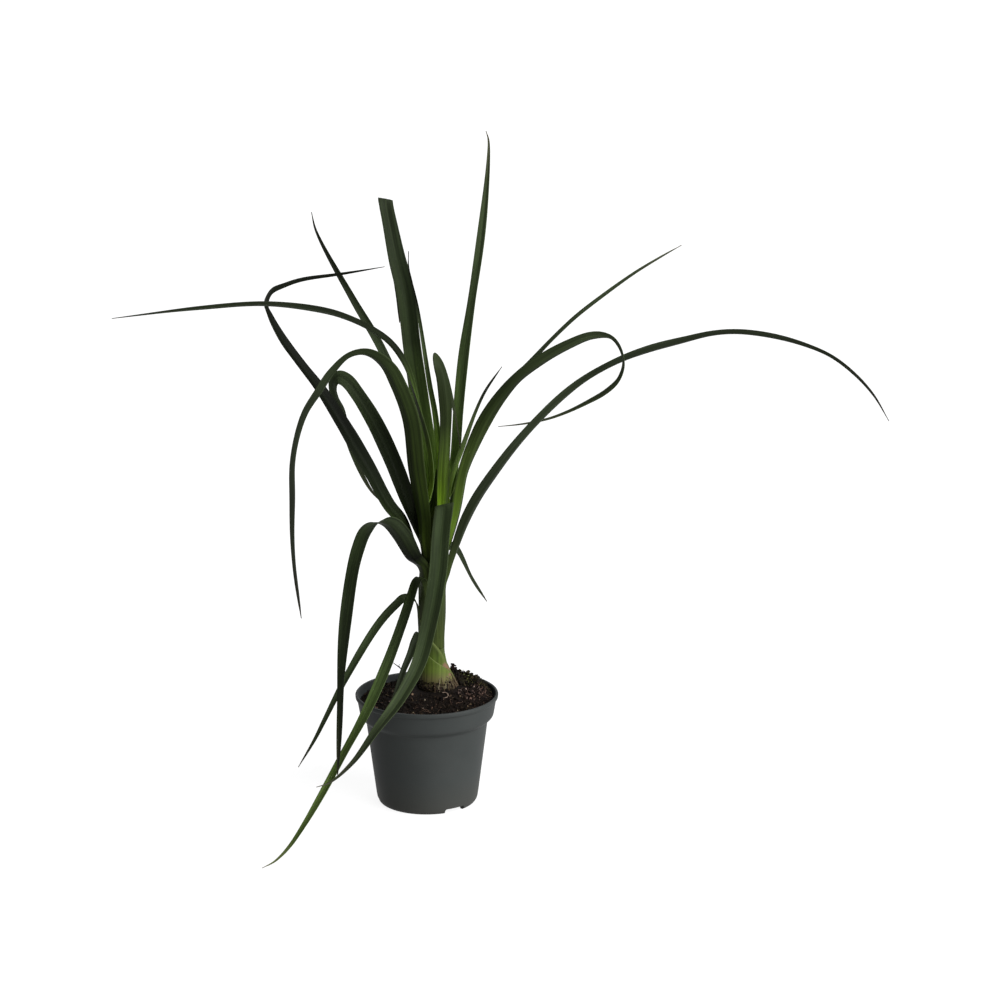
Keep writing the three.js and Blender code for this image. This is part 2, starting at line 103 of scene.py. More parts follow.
def light_studio():
    world = bpy.data.worlds.new("studio")
    world.use_nodes = True
    background = world.node_tree.nodes["Background"]
    background.inputs["Color"].default_value = (0.97, 0.985, 1, 1)
    background.inputs["Strength"].default_value = 0.15
    bpy.context.scene.world = world
    shine("key", azimuth=-34, elevation=27, strength=8.5, softness=60)
    shine("back", azimuth=98, elevation=50, strength=2.3, softness=60)
    bpy.context.scene.view_settings.view_transform = "Standard"


# ---- helpers for meshes ----


def smoothstep(x, low, high):
    t = np.clip((np.asarray(x, float) - low) / (high - low), 0, 1)
    return t * t * (3 - 2 * t)


def lerp(a, b, t):
    return a + (b - a) * t


def unit(v):
    return v / np.linalg.norm(v, axis=-1, keepdims=True)


def full_turn(count):
    """Equal steps of angle all the way round."""
    return np.linspace(0, 2 * math.pi, count, endpoint=False)


def ray(angle):
    return np.array([math.cos(angle), math.sin(angle)])


def make_piece(name, points, faces, material, nodes=(), attributes=None, smooth=True):
    """A mesh piece that rides on the pot and plant, with per-point numbers for its material."""
    mesh = bpy.data.meshes.new(name)
    mesh.from_pydata([tuple(point) for point in points], [], faces)
    for key, values in (attributes or {}).items():
        layer = mesh.attributes.new(key, "FLOAT", "POINT")
        layer.data.foreach_set("value", np.asarray(values, np.float32))
    mesh.polygons.foreach_set("use_smooth", [smooth] * len(mesh.polygons))
    mesh.materials.append(material)
    mesh.update()
    piece = put(name, mesh)
    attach(piece, "root")
    if nodes:
        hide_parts(*nodes)
    return piece


def closed_strip_faces(rows, ring):
    """Faces of a closed skin through equal rings of points, with a flat cap at each end."""
    faces = []
    for row in range(rows - 1):
        for side in range(ring):
            nxt = (side + 1) % ring
            a, b = row * ring + side, row * ring + nxt
            faces.append((a, b, b + ring, a + ring))
    faces.append(tuple(reversed(range(ring))))
    faces.append(tuple(range((rows - 1) * ring, rows * ring)))
    return faces


# ---- helpers for materials ----


class Nodes:
    """Short calls for building a material's node tree."""

    def __init__(self, name):
        self.material = bpy.data.materials.new(name)
        self.material.use_nodes = True
        self.tree = self.material.node_tree
        self.shader = self.tree.nodes["Principled BSDF"]

    def add(self, kind, settings=None, **inputs):
        node = self.tree.nodes.new(kind)
        for key, value in (settings or {}).items():
            setattr(node, key, value)
        for key, value in inputs.items():
            self.feed(node.inputs[key.replace("_", " ")], value)
        return node

    def feed(self, socket, value):
        if isinstance(value, bpy.types.NodeSocket):
            self.tree.links.new(value, socket)
        elif isinstance(value, tuple) and len(value) == 3 and socket.type == "RGBA":
            socket.default_value = (*value, 1)
        else:
            socket.default_value = value

    def attribute(self, name):
        return self.add("ShaderNodeAttribute", {"attribute_name": name}).outputs["Fac"]

    def math(self, operation, a, b=0.0):
        node = self.add("ShaderNodeMath", {"operation": operation})
        self.feed(node.inputs[0], a)
        self.feed(node.inputs[1], b)
        return node.outputs[0]

    def product(self, a, b):
        return self.math("MULTIPLY", a, b)

    def times(self, a, b):
        """A colour multiplied by another."""
        return self.mix(1.0, a, b, "MULTIPLY")

    def place(self, x, y, z):
        return self.add("ShaderNodeCombineXYZ", X=x, Y=y, Z=z).outputs[0]

    def at(self):
        """The point on the object, in metres."""
        return self.add("ShaderNodeTexCoord").outputs["Object"]

    def height(self):
        """Height over the floor, as a quarter of a metre to 1."""
        up = self.add("ShaderNodeSeparateXYZ", Vector=self.at()).outputs["Z"]
        return self.product(up, 4.0)

    def noise(self, where, scale, detail=3.0, roughness=0.5):
        sizes = {"Scale": scale, "Detail": detail, "Roughness": roughness}
        return self.add("ShaderNodeTexNoise", Vector=where, **sizes).outputs["Fac"]

    def cells(self, where, scale):
        return self.add("ShaderNodeTexVoronoi", Vector=where, Scale=scale).outputs["Distance"]

    def ramp(self, value, *stops):
        """Colours or greys by a value; a stop is (place, colour)."""
        node = self.add("ShaderNodeValToRGB", Fac=value)
        ramp = node.color_ramp
        while len(ramp.elements) < len(stops):
            ramp.elements.new(0.5)
        for element, (place, colour) in zip(ramp.elements, stops):
            element.position = place
            grey = (colour,) * 3 if isinstance(colour, (int, float)) else colour
            element.color = (*grey, 1)
        return node.outputs["Color"]

    def mix(self, share, a, b, kind="MIX"):
        node = self.add("ShaderNodeMix", {"data_type": "RGBA", "blend_type": kind})
        self.feed(node.inputs["Factor"], share)
        self.feed(node.inputs["A"], a)
        self.feed(node.inputs["B"], b)
        return node.outputs["Result"]

    def bump(self, height, distance, strength=1.0, under=None):
        node = self.add("ShaderNodeBump", Height=height, Distance=distance, Strength=strength)
        if under is not None:
            self.feed(node.inputs["Normal"], under)
        return node.outputs["Normal"]

    def finish(self, **inputs):
        for key, value in inputs.items():
            self.feed(self.shader.inputs[key.replace("_", " ")], value)
        return self.material


# ---- leaf material ----

# Colours up the stem; a height of 1 is a quarter of a metre. The greens are the stem's own,
# and the darker stretch from about 0.53 to 0.8 is painted shade under the crown's leaves.
STEM_GREENS_AND_SHADE = [
    (0.38, (0.022, 0.017, 0.009)),
    (0.405, (0.038, 0.032, 0.013)),
    (0.43, (0.060, 0.057, 0.021)),
    (0.455, (0.050, 0.070, 0.012)),
    (0.50, (0.034, 0.052, 0.008)),
    (0.53, (0.022, 0.031, 0.006)),
    (0.66, (0.015, 0.021, 0.0062)),
    (0.8, (0.021, 0.032, 0.0062)),
    (1.0, (0.036, 0.058, 0.006)),
]


def leaf_material():
    """Base to tip from yellow-green to dark green, with fine veins that run lengthwise.

    share runs from 0 at the foot to 1 at the tip, across from -1 to 1 between the edges,
    grain_x and grain_y are the place on the flat blade in metres, under is 1 on the lower
    face, sheath is 1 where the foot clasps the stem, tone is the leaf's lightness, partly its
    own and partly painted light that lifts blades lying in shade inside the crown, and yellow
    is how far it turns yellow-green."""
    n = Nodes("leaf")
    share = n.attribute("share")
    across = n.math("ABSOLUTE", n.attribute("across"))
    under = n.attribute("under")
    tone_and_painted_light = n.attribute("tone_and_painted_light")
    yellow = n.attribute("yellow")
    grain_x = n.attribute("grain_x")
    grain_y = n.attribute("grain_y")

    fine = n.place(n.product(grain_x, 2600.0), n.product(grain_y, 22.0), 0.0)
    broad = n.place(n.product(grain_x, 520.0), n.product(grain_y, 9.0), 0.0)
    patch = n.place(n.product(grain_x, 120.0), n.product(grain_y, 30.0), 0.0)
    veins = n.noise(fine, 1.0, detail=2.0, roughness=0.6)
    bands = n.noise(broad, 1.0, detail=2.0)
    patches = n.noise(patch, 1.0, detail=3.0)

    green = n.ramp(
        share,
        (0.0, (0.055, 0.080, 0.020)),
        (0.07, (0.025, 0.039, 0.010)),
        (0.2, (0.0125, 0.0185, 0.0074)),
        (0.45, (0.0098, 0.0145, 0.0058)),
        (0.85, (0.0098, 0.0135, 0.0060)),
        (1.0, (0.015, 0.015, 0.009)),
    )
    paler = n.times(green, (1.08, 1.02, 1.2))
    green = n.mix(under, green, paler)
    fresh = n.times(green, (0.85, 1.05, 0.15))
    green = n.mix(yellow, green, fresh)

    light = n.ramp(bands, (0.3, 0.62), (0.7, 1.38))
    lines = n.ramp(veins, (0.32, 0.8), (0.68, 1.22))
    mottle = n.ramp(patches, (0.3, 0.86), (0.7, 1.16))
    green = n.times(n.times(n.times(green, light), lines), mottle)
    rim = n.ramp(across, (0.9, 0.0), (1.0, 0.55))
    green = n.mix(rim, green, (0.023, 0.031, 0.013))
    midrib = n.ramp(across, (0.0, 0.22), (0.12, 0.0))
    green = n.mix(midrib, green, (0.024, 0.035, 0.012))
    speck = n.cells(n.place(grain_x, grain_y, 0.0), 620.0)
    specks = n.product(n.math("LESS_THAN", speck, 0.1), n.math("GREATER_THAN", patches, 0.56))
    green = n.mix(n.product(specks, 0.5), green, (0.080, 0.085, 0.060))
    dry = n.product(n.ramp(share, (0.965, 0.0), (1.0, 1.0)), 0.8)
    green = n.mix(dry, green, (0.020, 0.015, 0.010))

    # The foot clasps the stem: green above, paler below, tan at the swollen base, and darker
    # partway up, where shade under the crown is painted.
    sheath = n.attribute("sheath")
    clasp = n.times(n.times(n.ramp(n.height(), *STEM_GREENS_AND_SHADE), lines), light)
    margin = n.ramp(across, (0.84, 0.0), (0.97, 0.8))
    clasp = n.mix(margin, clasp, (0.055, 0.070, 0.020))
    green = n.mix(sheath, green, clasp)
    # The tone scales it all, the foot too: partly the leaf's own lightness, partly painted light for
    # leaves lying in shade inside the crown.
    green = n.times(green, n.place(tone_and_painted_light, tone_and_painted_light, tone_and_painted_light))

    ridged = n.bump(bands, 0.0003, 0.5, n.bump(veins, 0.00012, 0.6))
    roughness = n.ramp(patches, (0.3, 0.56), (0.7, 0.68))
    return n.finish(Base_Color=green, Roughness=roughness, Normal=ridged, Specular_IOR_Level=0.05)


# ---- leaves ----

# Height, centre x and y, and radius of the trunk, in millimetres, as in the CAD model.
TRUNK = np.array([
    [62, 10, 7, 4], [70, 10, 7, 8.5], [82, 9.8, 7, 13.8], [92, 9.6, 7, 16.8], [99, 9, 7, 16.5],
    [105, 8.2, 7, 14.8], [111, 7.2, 6.8, 12.9], [118, 5.9, 6.5, 11], [127, 4.9, 6.2, 10.3],
    [140, 4.5, 5.8, 10.1], [160, 4.6, 5.4, 10.5], [185, 4.8, 5, 10.2], [202, 5.6, 5, 9.2],
    [220, 6.8, 5, 7.8], [240, 8.2, 5, 6.2], [260, 9.4, 5, 4.6], [276, 10.2, 5, 3.2],
    [284, 10.6, 5, 1.6],
])

# The leaves as in the CAD model, in millimetres and degrees, and their colours. The tone is the
# lightness, partly the leaf's own and partly painted light that lifts leaves lying in shade inside
# the crown, and yellow the turn to yellow-green, each at its shares of the leaf's length, and
# twist is the turn about the midline by share. A leaf without yellow or twist has none.
TONE_AND_LIGHT_SHARES = (0, 0.1, 0.4, 0.8)
YELLOW_SHARES = (0.2, 0.6)
STRAIGHT = [(0, 0), (1, 0)]
LEAVES = [
    dict(name="leaf_short_low", azimuth=220, height=132, width=7, full=0.3, tone_and_painted_light=(0.21, 0.66, 0.47),
        route=[(-9, -13, 143), (-13, -18, 133), (-18.6, -25, 121), (-22, -31, 112), (-26.3, -43, 103),
        (-32, -54, 95)]),
    dict(name="leaf_low_left", azimuth=192, height=158, width=8, full=0.45, tone_and_painted_light=(0.26, 2.4, 1.3),
        route=[(-13, -3, 177.5), (-18.5, -6, 178), (-23.5, -9, 174), (-33.5, -13, 164.3),
        (-44.5, -17, 150), (-66.4, -24, 113.6), (-83, -30, 81.4), (-92.4, -33, 63.2),
        (-106, -38, 41)]),
    dict(name="leaf_floor", azimuth=242, height=174, width=12, full=0.35, tone_and_painted_light=(0.33, 4, 3.2),
        yellow=(0.03, 0.6),
        twist=[(0, 0), (0.3, -4), (0.6, -8), (1, -18)],
        route=[(-4, -14, 197.5), (-7.2, -17, 195.5), (-10.4, -21, 186.5), (-17, -29, 167),
        (-30.8, -45, 132), (-48, -63, 96), (-66.3, -82, 66), (-82.5, -102, 40), (-94.5, -119, 23),
        (-106.4, -132, 8), (-117, -150, 2.2), (-126, -162, 1.4)]),
    dict(name="leaf_front", azimuth=286, height=182, width=16, full=0.48, tone_and_painted_light=(0.19, 2, 2),
        twist=[(0, 0), (0.74, 0), (0.82, 22), (0.88, 28), (1, 34)],
        route=[(12, -14, 225), (14, -20, 248), (16, -26, 259), (16, -31, 264), (16, -36, 260),
        (14, -42, 244), (11.5, -49, 212), (5, -56, 175), (-4.2, -64, 140), (-19, -78, 115),
        (-37.6, -94, 93), (-56.4, -108, 70), (-74.5, -118, 56.5), (-85, -124, 55)]),
    dict(name="leaf_long_right", azimuth=325, height=176, width=13, full=0.3, tone_and_painted_light=(0.28, 0.99, 0.67),
        yellow=(0.03, 0),
        twist=[(0, 0), (0.14, -18), (0.25, -9), (1, -9)],
        route=[(20, -5, 205), (25.5, -6, 223), (32.6, -7, 243), (42.6, -8, 263), (56.5, -8, 284),
        (74, -6, 307), (92, -3, 327), (114, 0, 348), (133, 3, 362), (158, 7, 375), (183, 10, 384),
        (212, 14, 391), (235, 16, 396), (255, 18, 397), (280, 20, 394), (307, 22, 387),
        (333, 24, 376), (354, 26, 360), (370.4, 28, 342), (384, 30, 320)]),
    dict(name="leaf_arched", azimuth=233, height=190, width=17, full=0.4, tone_and_painted_light=(0.05, 1.8, 0.98),
        yellow=(0.07, 0),
        twist=[(0, 0), (0.05, 26), (0.1, 34), (0.2, 37), (0.27, 25), (0.33, -9), (0.38, -13),
        (0.8, -13), (1, -30)],
        route=[(-9.6, -17, 216), (-19.2, -28, 237.4), (-28, -36, 249.5), (-37, -44, 253),
        (-46, -51, 247), (-51.8, -58, 234), (-56.3, -64, 217), (-61.8, -75, 181), (-65.4, -84, 143),
        (-67, -92, 106), (-69.5, -100, 56)]),
    dict(name="leaf_hanging_right", azimuth=70, height=182, width=8, full=0.4, tone_and_painted_light=(0.77, 0.77, 0.77),
        twist=[(0, 0), (0.4, 8), (0.7, 14), (1, 34)],
        route=[(14, 20, 213), (20, 23, 215), (25, 26, 211), (29.6, 30, 201.5), (37.3, 40, 182),
        (50.2, 52, 158)]),
    dict(name="leaf_returning", azimuth=198, height=196, width=14, full=0.35, tone_and_painted_light=(0.52, 0.14, 0.34),
        yellow=(0.2, 0),
        twist=[(0, 0), (0.14, -62), (0.24, -70), (0.34, -72), (0.38, -63), (0.5, -58), (0.6, -57),
        (0.66, -34), (0.7, -14), (0.72, -6), (0.76, -3), (1, 4)],
        route=[(-18.6, -1, 240.5), (-30.8, -2, 256.6), (-48, -3, 290.5), (-66.8, -4, 324),
        (-84.8, -4, 353.4), (-100.3, -3, 374), (-116.2, 0, 396), (-125.8, 5, 413), (-129, 10, 422),
        (-125, 17, 431), (-114, 24, 435.6), (-100, 32, 438.8), (-70, 42, 441.5), (-34, 56, 445)]),
    dict(name="leaf_looped", azimuth=325, height=198, width=14, full=0.3, tone_and_painted_light=(1.7, 0.57, 3.1),
        yellow=(0.9, 0.1),
        twist=[(0, 0), (0.1, -8), (0.2, -8), (0.26, -26), (0.32, -38), (0.42, -24), (0.47, -32),
        (0.6, -27), (0.67, 36), (0.77, 42), (1, 50)],
        route=[(21, -7, 231), (26, -9, 253), (32, -12, 286), (40, -14, 309), (50, -16, 331),
        (62, -18, 350), (76, -20, 366.5), (96, -22, 382.3), (117, -24, 394.4), (135, -26, 401.8),
        (149, -27, 401.4), (157, -25, 393.2), (161, -21, 380), (157, -14, 364.6), (147.2, -6, 352.8),
        (132.5, 3, 342), (115.5, 10, 332), (100, 16, 325), (82, 22, 319.8), (60, 29, 315.5)]),
    dict(name="leaf_upper_right", azimuth=35, height=204, width=9, full=0.4, tone_and_painted_light=(1.9, 1.8, 2.1),
        twist=[(0, 0), (0.6, -6), (0.75, 2), (0.85, 16), (0.95, 34), (1, 36)],
        route=[(21, 12, 249), (27, 16, 273), (40, 21, 306), (58, 27, 335), (73, 34, 354),
        (87, 39, 368), (105, 46, 386), (124, 53, 403), (147, 60, 420), (174, 69, 438), (197, 76, 451),
        (213, 82, 459)]),
    dict(name="leaf_broad_left", azimuth=235, height=204, width=18, full=0.3, tone_and_painted_light=(0.5, 1.2, 0.41),
        yellow=(0.83, 0),
        twist=[(0, 0), (0.38, 9), (0.44, -1), (0.5, 0), (0.54, 9), (0.7, 12), (0.8, 15), (0.9, 18),
        (1, 40)],
        route=[(-1.8, -8, 244), (-7.4, -13, 288), (-11.6, -19, 331), (-21.4, -26, 362),
        (-30, -31, 379), (-45, -36, 390), (-59, -41, 388.5), (-72.4, -45, 375.6), (-82.6, -48, 360.6),
        (-92.9, -51, 345), (-99.6, -53, 327), (-103.8, -55, 305), (-104.6, -56, 275),
        (-105.3, -57, 244), (-104.2, -57, 217), (-99.8, -56, 175)]),
    dict(name="leaf_inner_left", azimuth=172, height=210, width=15.5, full=0.45,
        tone_and_painted_light=(0.061, 0.46, 2.9), yellow=(0.47, 0),
        twist=[(0, 0), (0.1, -18), (0.18, -44), (0.24, -56), (0.36, -59), (0.43, -52), (0.5, -47),
        (0.6, -58), (0.9, -80), (1, -80)],
        route=[(-10.8, 4, 243), (-18.6, 6, 268), (-27, 9, 290), (-41.1, 11, 321.3), (-55.4, 14, 345),
        (-64.8, 17, 356.8), (-71.8, 19, 359.2), (-75.6, 20, 354.5), (-74.4, 21, 343.5),
        (-69, 22, 332), (-62, 22, 300), (-47, 19, 266), (-36, 16, 253)]),
    dict(name="leaf_upper_left", azimuth=155, height=229, width=10, full=0.4, tone_and_painted_light=(0.97, 2, 0.53),
        twist=[(0, 0), (0.4, -14), (0.55, -34), (0.65, -52), (0.8, -60), (1, -64)],
        route=[(-3, 9, 276), (-17.6, 17.6, 339), (-37.5, 32, 382.5), (-60.6, 45, 420.6),
        (-90.6, 62, 473.6), (-94.6, 66, 489)]),
    dict(name="leaf_short_right", azimuth=8, height=224, width=8, full=0.4, tone_and_painted_light=(4.3, 6.4, 0.33),
        yellow=(1, 0.4),
        twist=[(0, 0), (0.3, -36), (0.6, -48), (1, -60)],
        route=[(19, 4, 262), (24, 5, 283), (31, 7, 303), (43, 13, 335), (50, 17, 349), (63, 25, 367)]),
    dict(name="leaf_long_left", azimuth=200, height=230, width=13, full=0.3, tone_and_painted_light=(5.1, 0.25, 0.88),
        yellow=(0.9, 0),
        twist=[(0, 0), (0.2, -10), (0.4, -34), (0.6, -38), (1, -44)],
        route=[(5, -1, 277), (2, -4, 311), (-4, -7, 337), (-14.4, -10, 372.6), (-26.4, -12, 392.2),
        (-40.6, -14, 404), (-63, -15, 415), (-83, -15, 420.7), (-127, -14, 425.6), (-180, -12, 422),
        (-252, -8, 413)]),
    dict(name="leaf_centre", azimuth=305, height=234, width=13, full=0.5, tone_and_painted_light=(4.9, 0.79, 1.1),
        yellow=(1, 0.3),
        twist=[(0, 0), (0.5, 0), (0.6, 4), (0.65, 20), (0.7, 40), (1, 40)],
        route=[(15, -4, 268), (16, -5, 293), (17.4, -5, 316), (17.7, -5, 339), (14.8, -4, 364),
        (11, -2, 377), (11, 1, 379), (13.4, 4, 375.4), (18.4, 4, 361), (22.2, 3, 345), (27, 1, 318),
        (29, 0, 303)]),
    dict(name="leaf_upright", azimuth=105, height=236, width=16.5, full=0.55, tone_and_painted_light=(6, 0.75, 1),
        yellow=(0.6, 0),
        twist=[(0, 0), (0.5, 0), (0.6, 4), (0.7, 6), (1, 0)],
        route=[(5, 20, 274), (-2.6, 23, 322), (-10.8, 24, 381), (-16.6, 26, 430), (-23, 27, 456),
        (-28, 30, 481), (-31.4, 32, 499), (-32, 35, 504), (-32, 39, 500), (-29, 43, 481),
        (-26, 48, 451), (-23, 50, 422), (-22, 51, 399)]),
    dict(name="leaf_tallest", azimuth=45, height=242, width=12, full=0.5, tone_and_painted_light=(6.5, 4.6, 3.3),
        yellow=(0.45, 0),
        twist=[(0, 0), (0.3, 5), (0.4, 3), (0.5, -2), (0.6, 2), (0.7, 10), (0.8, 24), (1, 24)],
        route=[(20, 12, 265), (25, 15, 294), (28, 18, 336), (32, 22, 375), (38, 26, 416),
        (47, 32, 481), (52, 37, 535), (52, 38, 552), (50, 37, 559)]),
    dict(name="leaf_slender", azimuth=80, height=254, width=5.5, full=0.3, tone_and_painted_light=(6.5, 6.5, 0.42),
        yellow=(0.9, 0.1),
        route=[(11, 12, 299), (8, 14, 330), (4, 16, 352), (-6, 20, 417), (-13, 22, 450),
        (-13, 23, 463)]),
]

BLADE_TIP_WIDTH = 0.7
TAPER_POWER = 0.65
FOOT_CHANNEL = 40
BLADE_CHANNEL = 22
FOOT_WIDTH_SHARE = 0.65
NECK_SHARE = 0.2
FOOT_SHARE = 0.12
CREASE = 14
FOOT_STAND_OFF = 0.85
FOOT_RISE = 14
FOOT_LEAN = 2.2

STEPS = 10  # rows for each stretch of a leaf's route
ACROSS = 17  # points from edge to edge of a blade
MIDRIB_THICKNESS = 0.75
EDGE_THICKNESS = 0.25
EDGE_ROLL = 0.05
EDGE_WAVE = 0.35
KEEL = 0.25
KEEL_WIDTH = 0.12  # share of the half width
SHEATH_DEPTH = 42  # how far a leaf's foot reaches down round the stem
SHEATH_FLOOR = 103  # and the lowest that it gets
SHEATH_WRAP = 2.6  # radians to either side that its lower end goes round the stem
SHEATH_ROWS = 24
JOIN_ROWS = round(1.6 * STEPS)  # over which the sheath opens into the blade


def trunk_at(height):
    """Centre x and y and radius of the trunk."""
    return [np.interp(height, TRUNK[:, 0], TRUNK[:, column]) for column in (1, 2, 3)]


def curve_through(points, steps):
    """Points and directions of the centripetal Catmull-Rom curve through the points."""
    points = [np.array(point, float) for point in points]
    ends = [2 * points[0] - points[1], 2 * points[-1] - points[-2]]
    knots = [ends[0], *points, ends[1]]
    places, directions = [], []
    last = len(points) - 2
    for i in range(len(points) - 1):
        p0, p1, p2, p3 = knots[i : i + 4]
        d0, d1, d2 = (np.linalg.norm(b - a) ** 0.5 for a, b in ((p0, p1), (p1, p2), (p2, p3)))
        start = ((p1 - p0) / d0 - (p2 - p0) / (d0 + d1) + (p2 - p1) / d1) * d1
        end = ((p2 - p1) / d1 - (p3 - p1) / (d1 + d2) + (p3 - p2) / d2) * d1
        for k in range(steps + (i == last)):
            t = k / steps
            places.append(
                (2 * t**3 - 3 * t**2 + 1) * p1 + (t**3 - 2 * t**2 + t) * start
                + (3 * t**2 - 2 * t**3) * p2 + (t**3 - t**2) * end
            )
            directions.append(
                (6 * t * t - 6 * t) * (p1 - p2) + (3 * t * t - 4 * t + 1) * start
                + (3 * t * t - 2 * t) * end
            )
    return np.array(places), unit(np.array(directions))


def carry_sides(places, directions, first):
    """Side directions carried along the line with no turning of their own."""
    sides = [unit(first - directions[0] * (first @ directions[0]))]
    for i in range(1, len(places)):
        chord = places[i] - places[i - 1]
        size = chord @ chord
        side = sides[-1] - 2 * (sides[-1] @ chord) / size * chord
        mirrored = directions[i - 1] - 2 * (directions[i - 1] @ chord) / size * chord
        change = directions[i] - mirrored
        if change @ change > 1e-12:
            side = side - 2 * (side @ change) / (change @ change) * change
        sides.append(unit(side - directions[i] * (side @ directions[i])))
    return np.array(sides)


def foot_reach(radius, half_width):
    slope = math.radians(FOOT_CHANNEL)
    clear = radius + FOOT_STAND_OFF
    depth = half_width * math.sin(slope)
    if half_width > clear * math.tan(slope):
        apex = clear / math.cos(slope)
    else:
        apex = depth + math.sqrt(clear**2 - (half_width * math.cos(slope)) ** 2)
    return apex - depth / 2


def blade_rows(leaf, rng):
    """Rows of the free blade: midline points, side and inner directions, and sizes."""
    angle = math.radians(leaf["azimuth"])
    outward = np.array([*ray(angle), 0])
    sideways = np.array([*ray(angle + math.pi / 2), 0])
    x, y, radius = trunk_at(leaf["height"])
    reach = foot_reach(radius, leaf["width"] * FOOT_WIDTH_SHARE / 2)
    foot = np.array([x, y, leaf["height"]]) + outward * reach
    shoulder = foot + outward * FOOT_LEAN + np.array([0, 0, FOOT_RISE])
    places, directions = curve_through([foot, shoulder, *leaf["route"]], STEPS)
    sides = carry_sides(places, directions, sideways)
    steps = np.linalg.norm(np.diff(places, axis=0), axis=1)
    along = np.concatenate([[0], np.cumsum(steps)])
    share = along / along[-1]

    twists = np.array(leaf.get("twist", STRAIGHT), float)
    dense = np.linspace(0, 1, 201)
    turn = np.interp(dense, twists[:, 0], twists[:, 1])
    window = np.hanning(9) / np.hanning(9).sum()
    turn = np.convolve(np.pad(turn, 4, mode="edge"), window, mode="valid")
    wobble = 3 * np.sin(share * 17 + rng.uniform(0, 6)) * smoothstep(share, 0.1, 0.3)
    turn = np.radians(np.interp(share, dense, turn) + wobble)
    sides = sides * np.cos(turn)[:, None] + np.cross(directions, sides) * np.sin(turn)[:, None]
    inner = np.cross(directions, sides)

    taper = np.minimum(1, (1 - share) / (1 - leaf["full"])) ** TAPER_POWER
    neck = lerp(FOOT_WIDTH_SHARE, 1, smoothstep(share, 0, NECK_SHARE))
    width = np.maximum(BLADE_TIP_WIDTH, leaf["width"] * neck * taper)
    width *= 1 + 0.02 * np.sin(along / 23 + rng.uniform(0, 6))
    bend = np.zeros(len(share))
    turned = np.arccos(np.clip((directions[2:] * directions[:-2]).sum(1), -1, 1))
    bend[1:-1] = turned / (along[2:] - along[:-2])
    bend = np.convolve(np.pad(bend, 3, mode="edge"), np.ones(7) / 7, mode="valid")
    channel = lerp(FOOT_CHANNEL, BLADE_CHANNEL, smoothstep(share, 0, FOOT_SHARE))
    slope = np.radians(channel / (1 + (CREASE * bend) ** 2))
    return places, sides, inner, width, slope, along, share


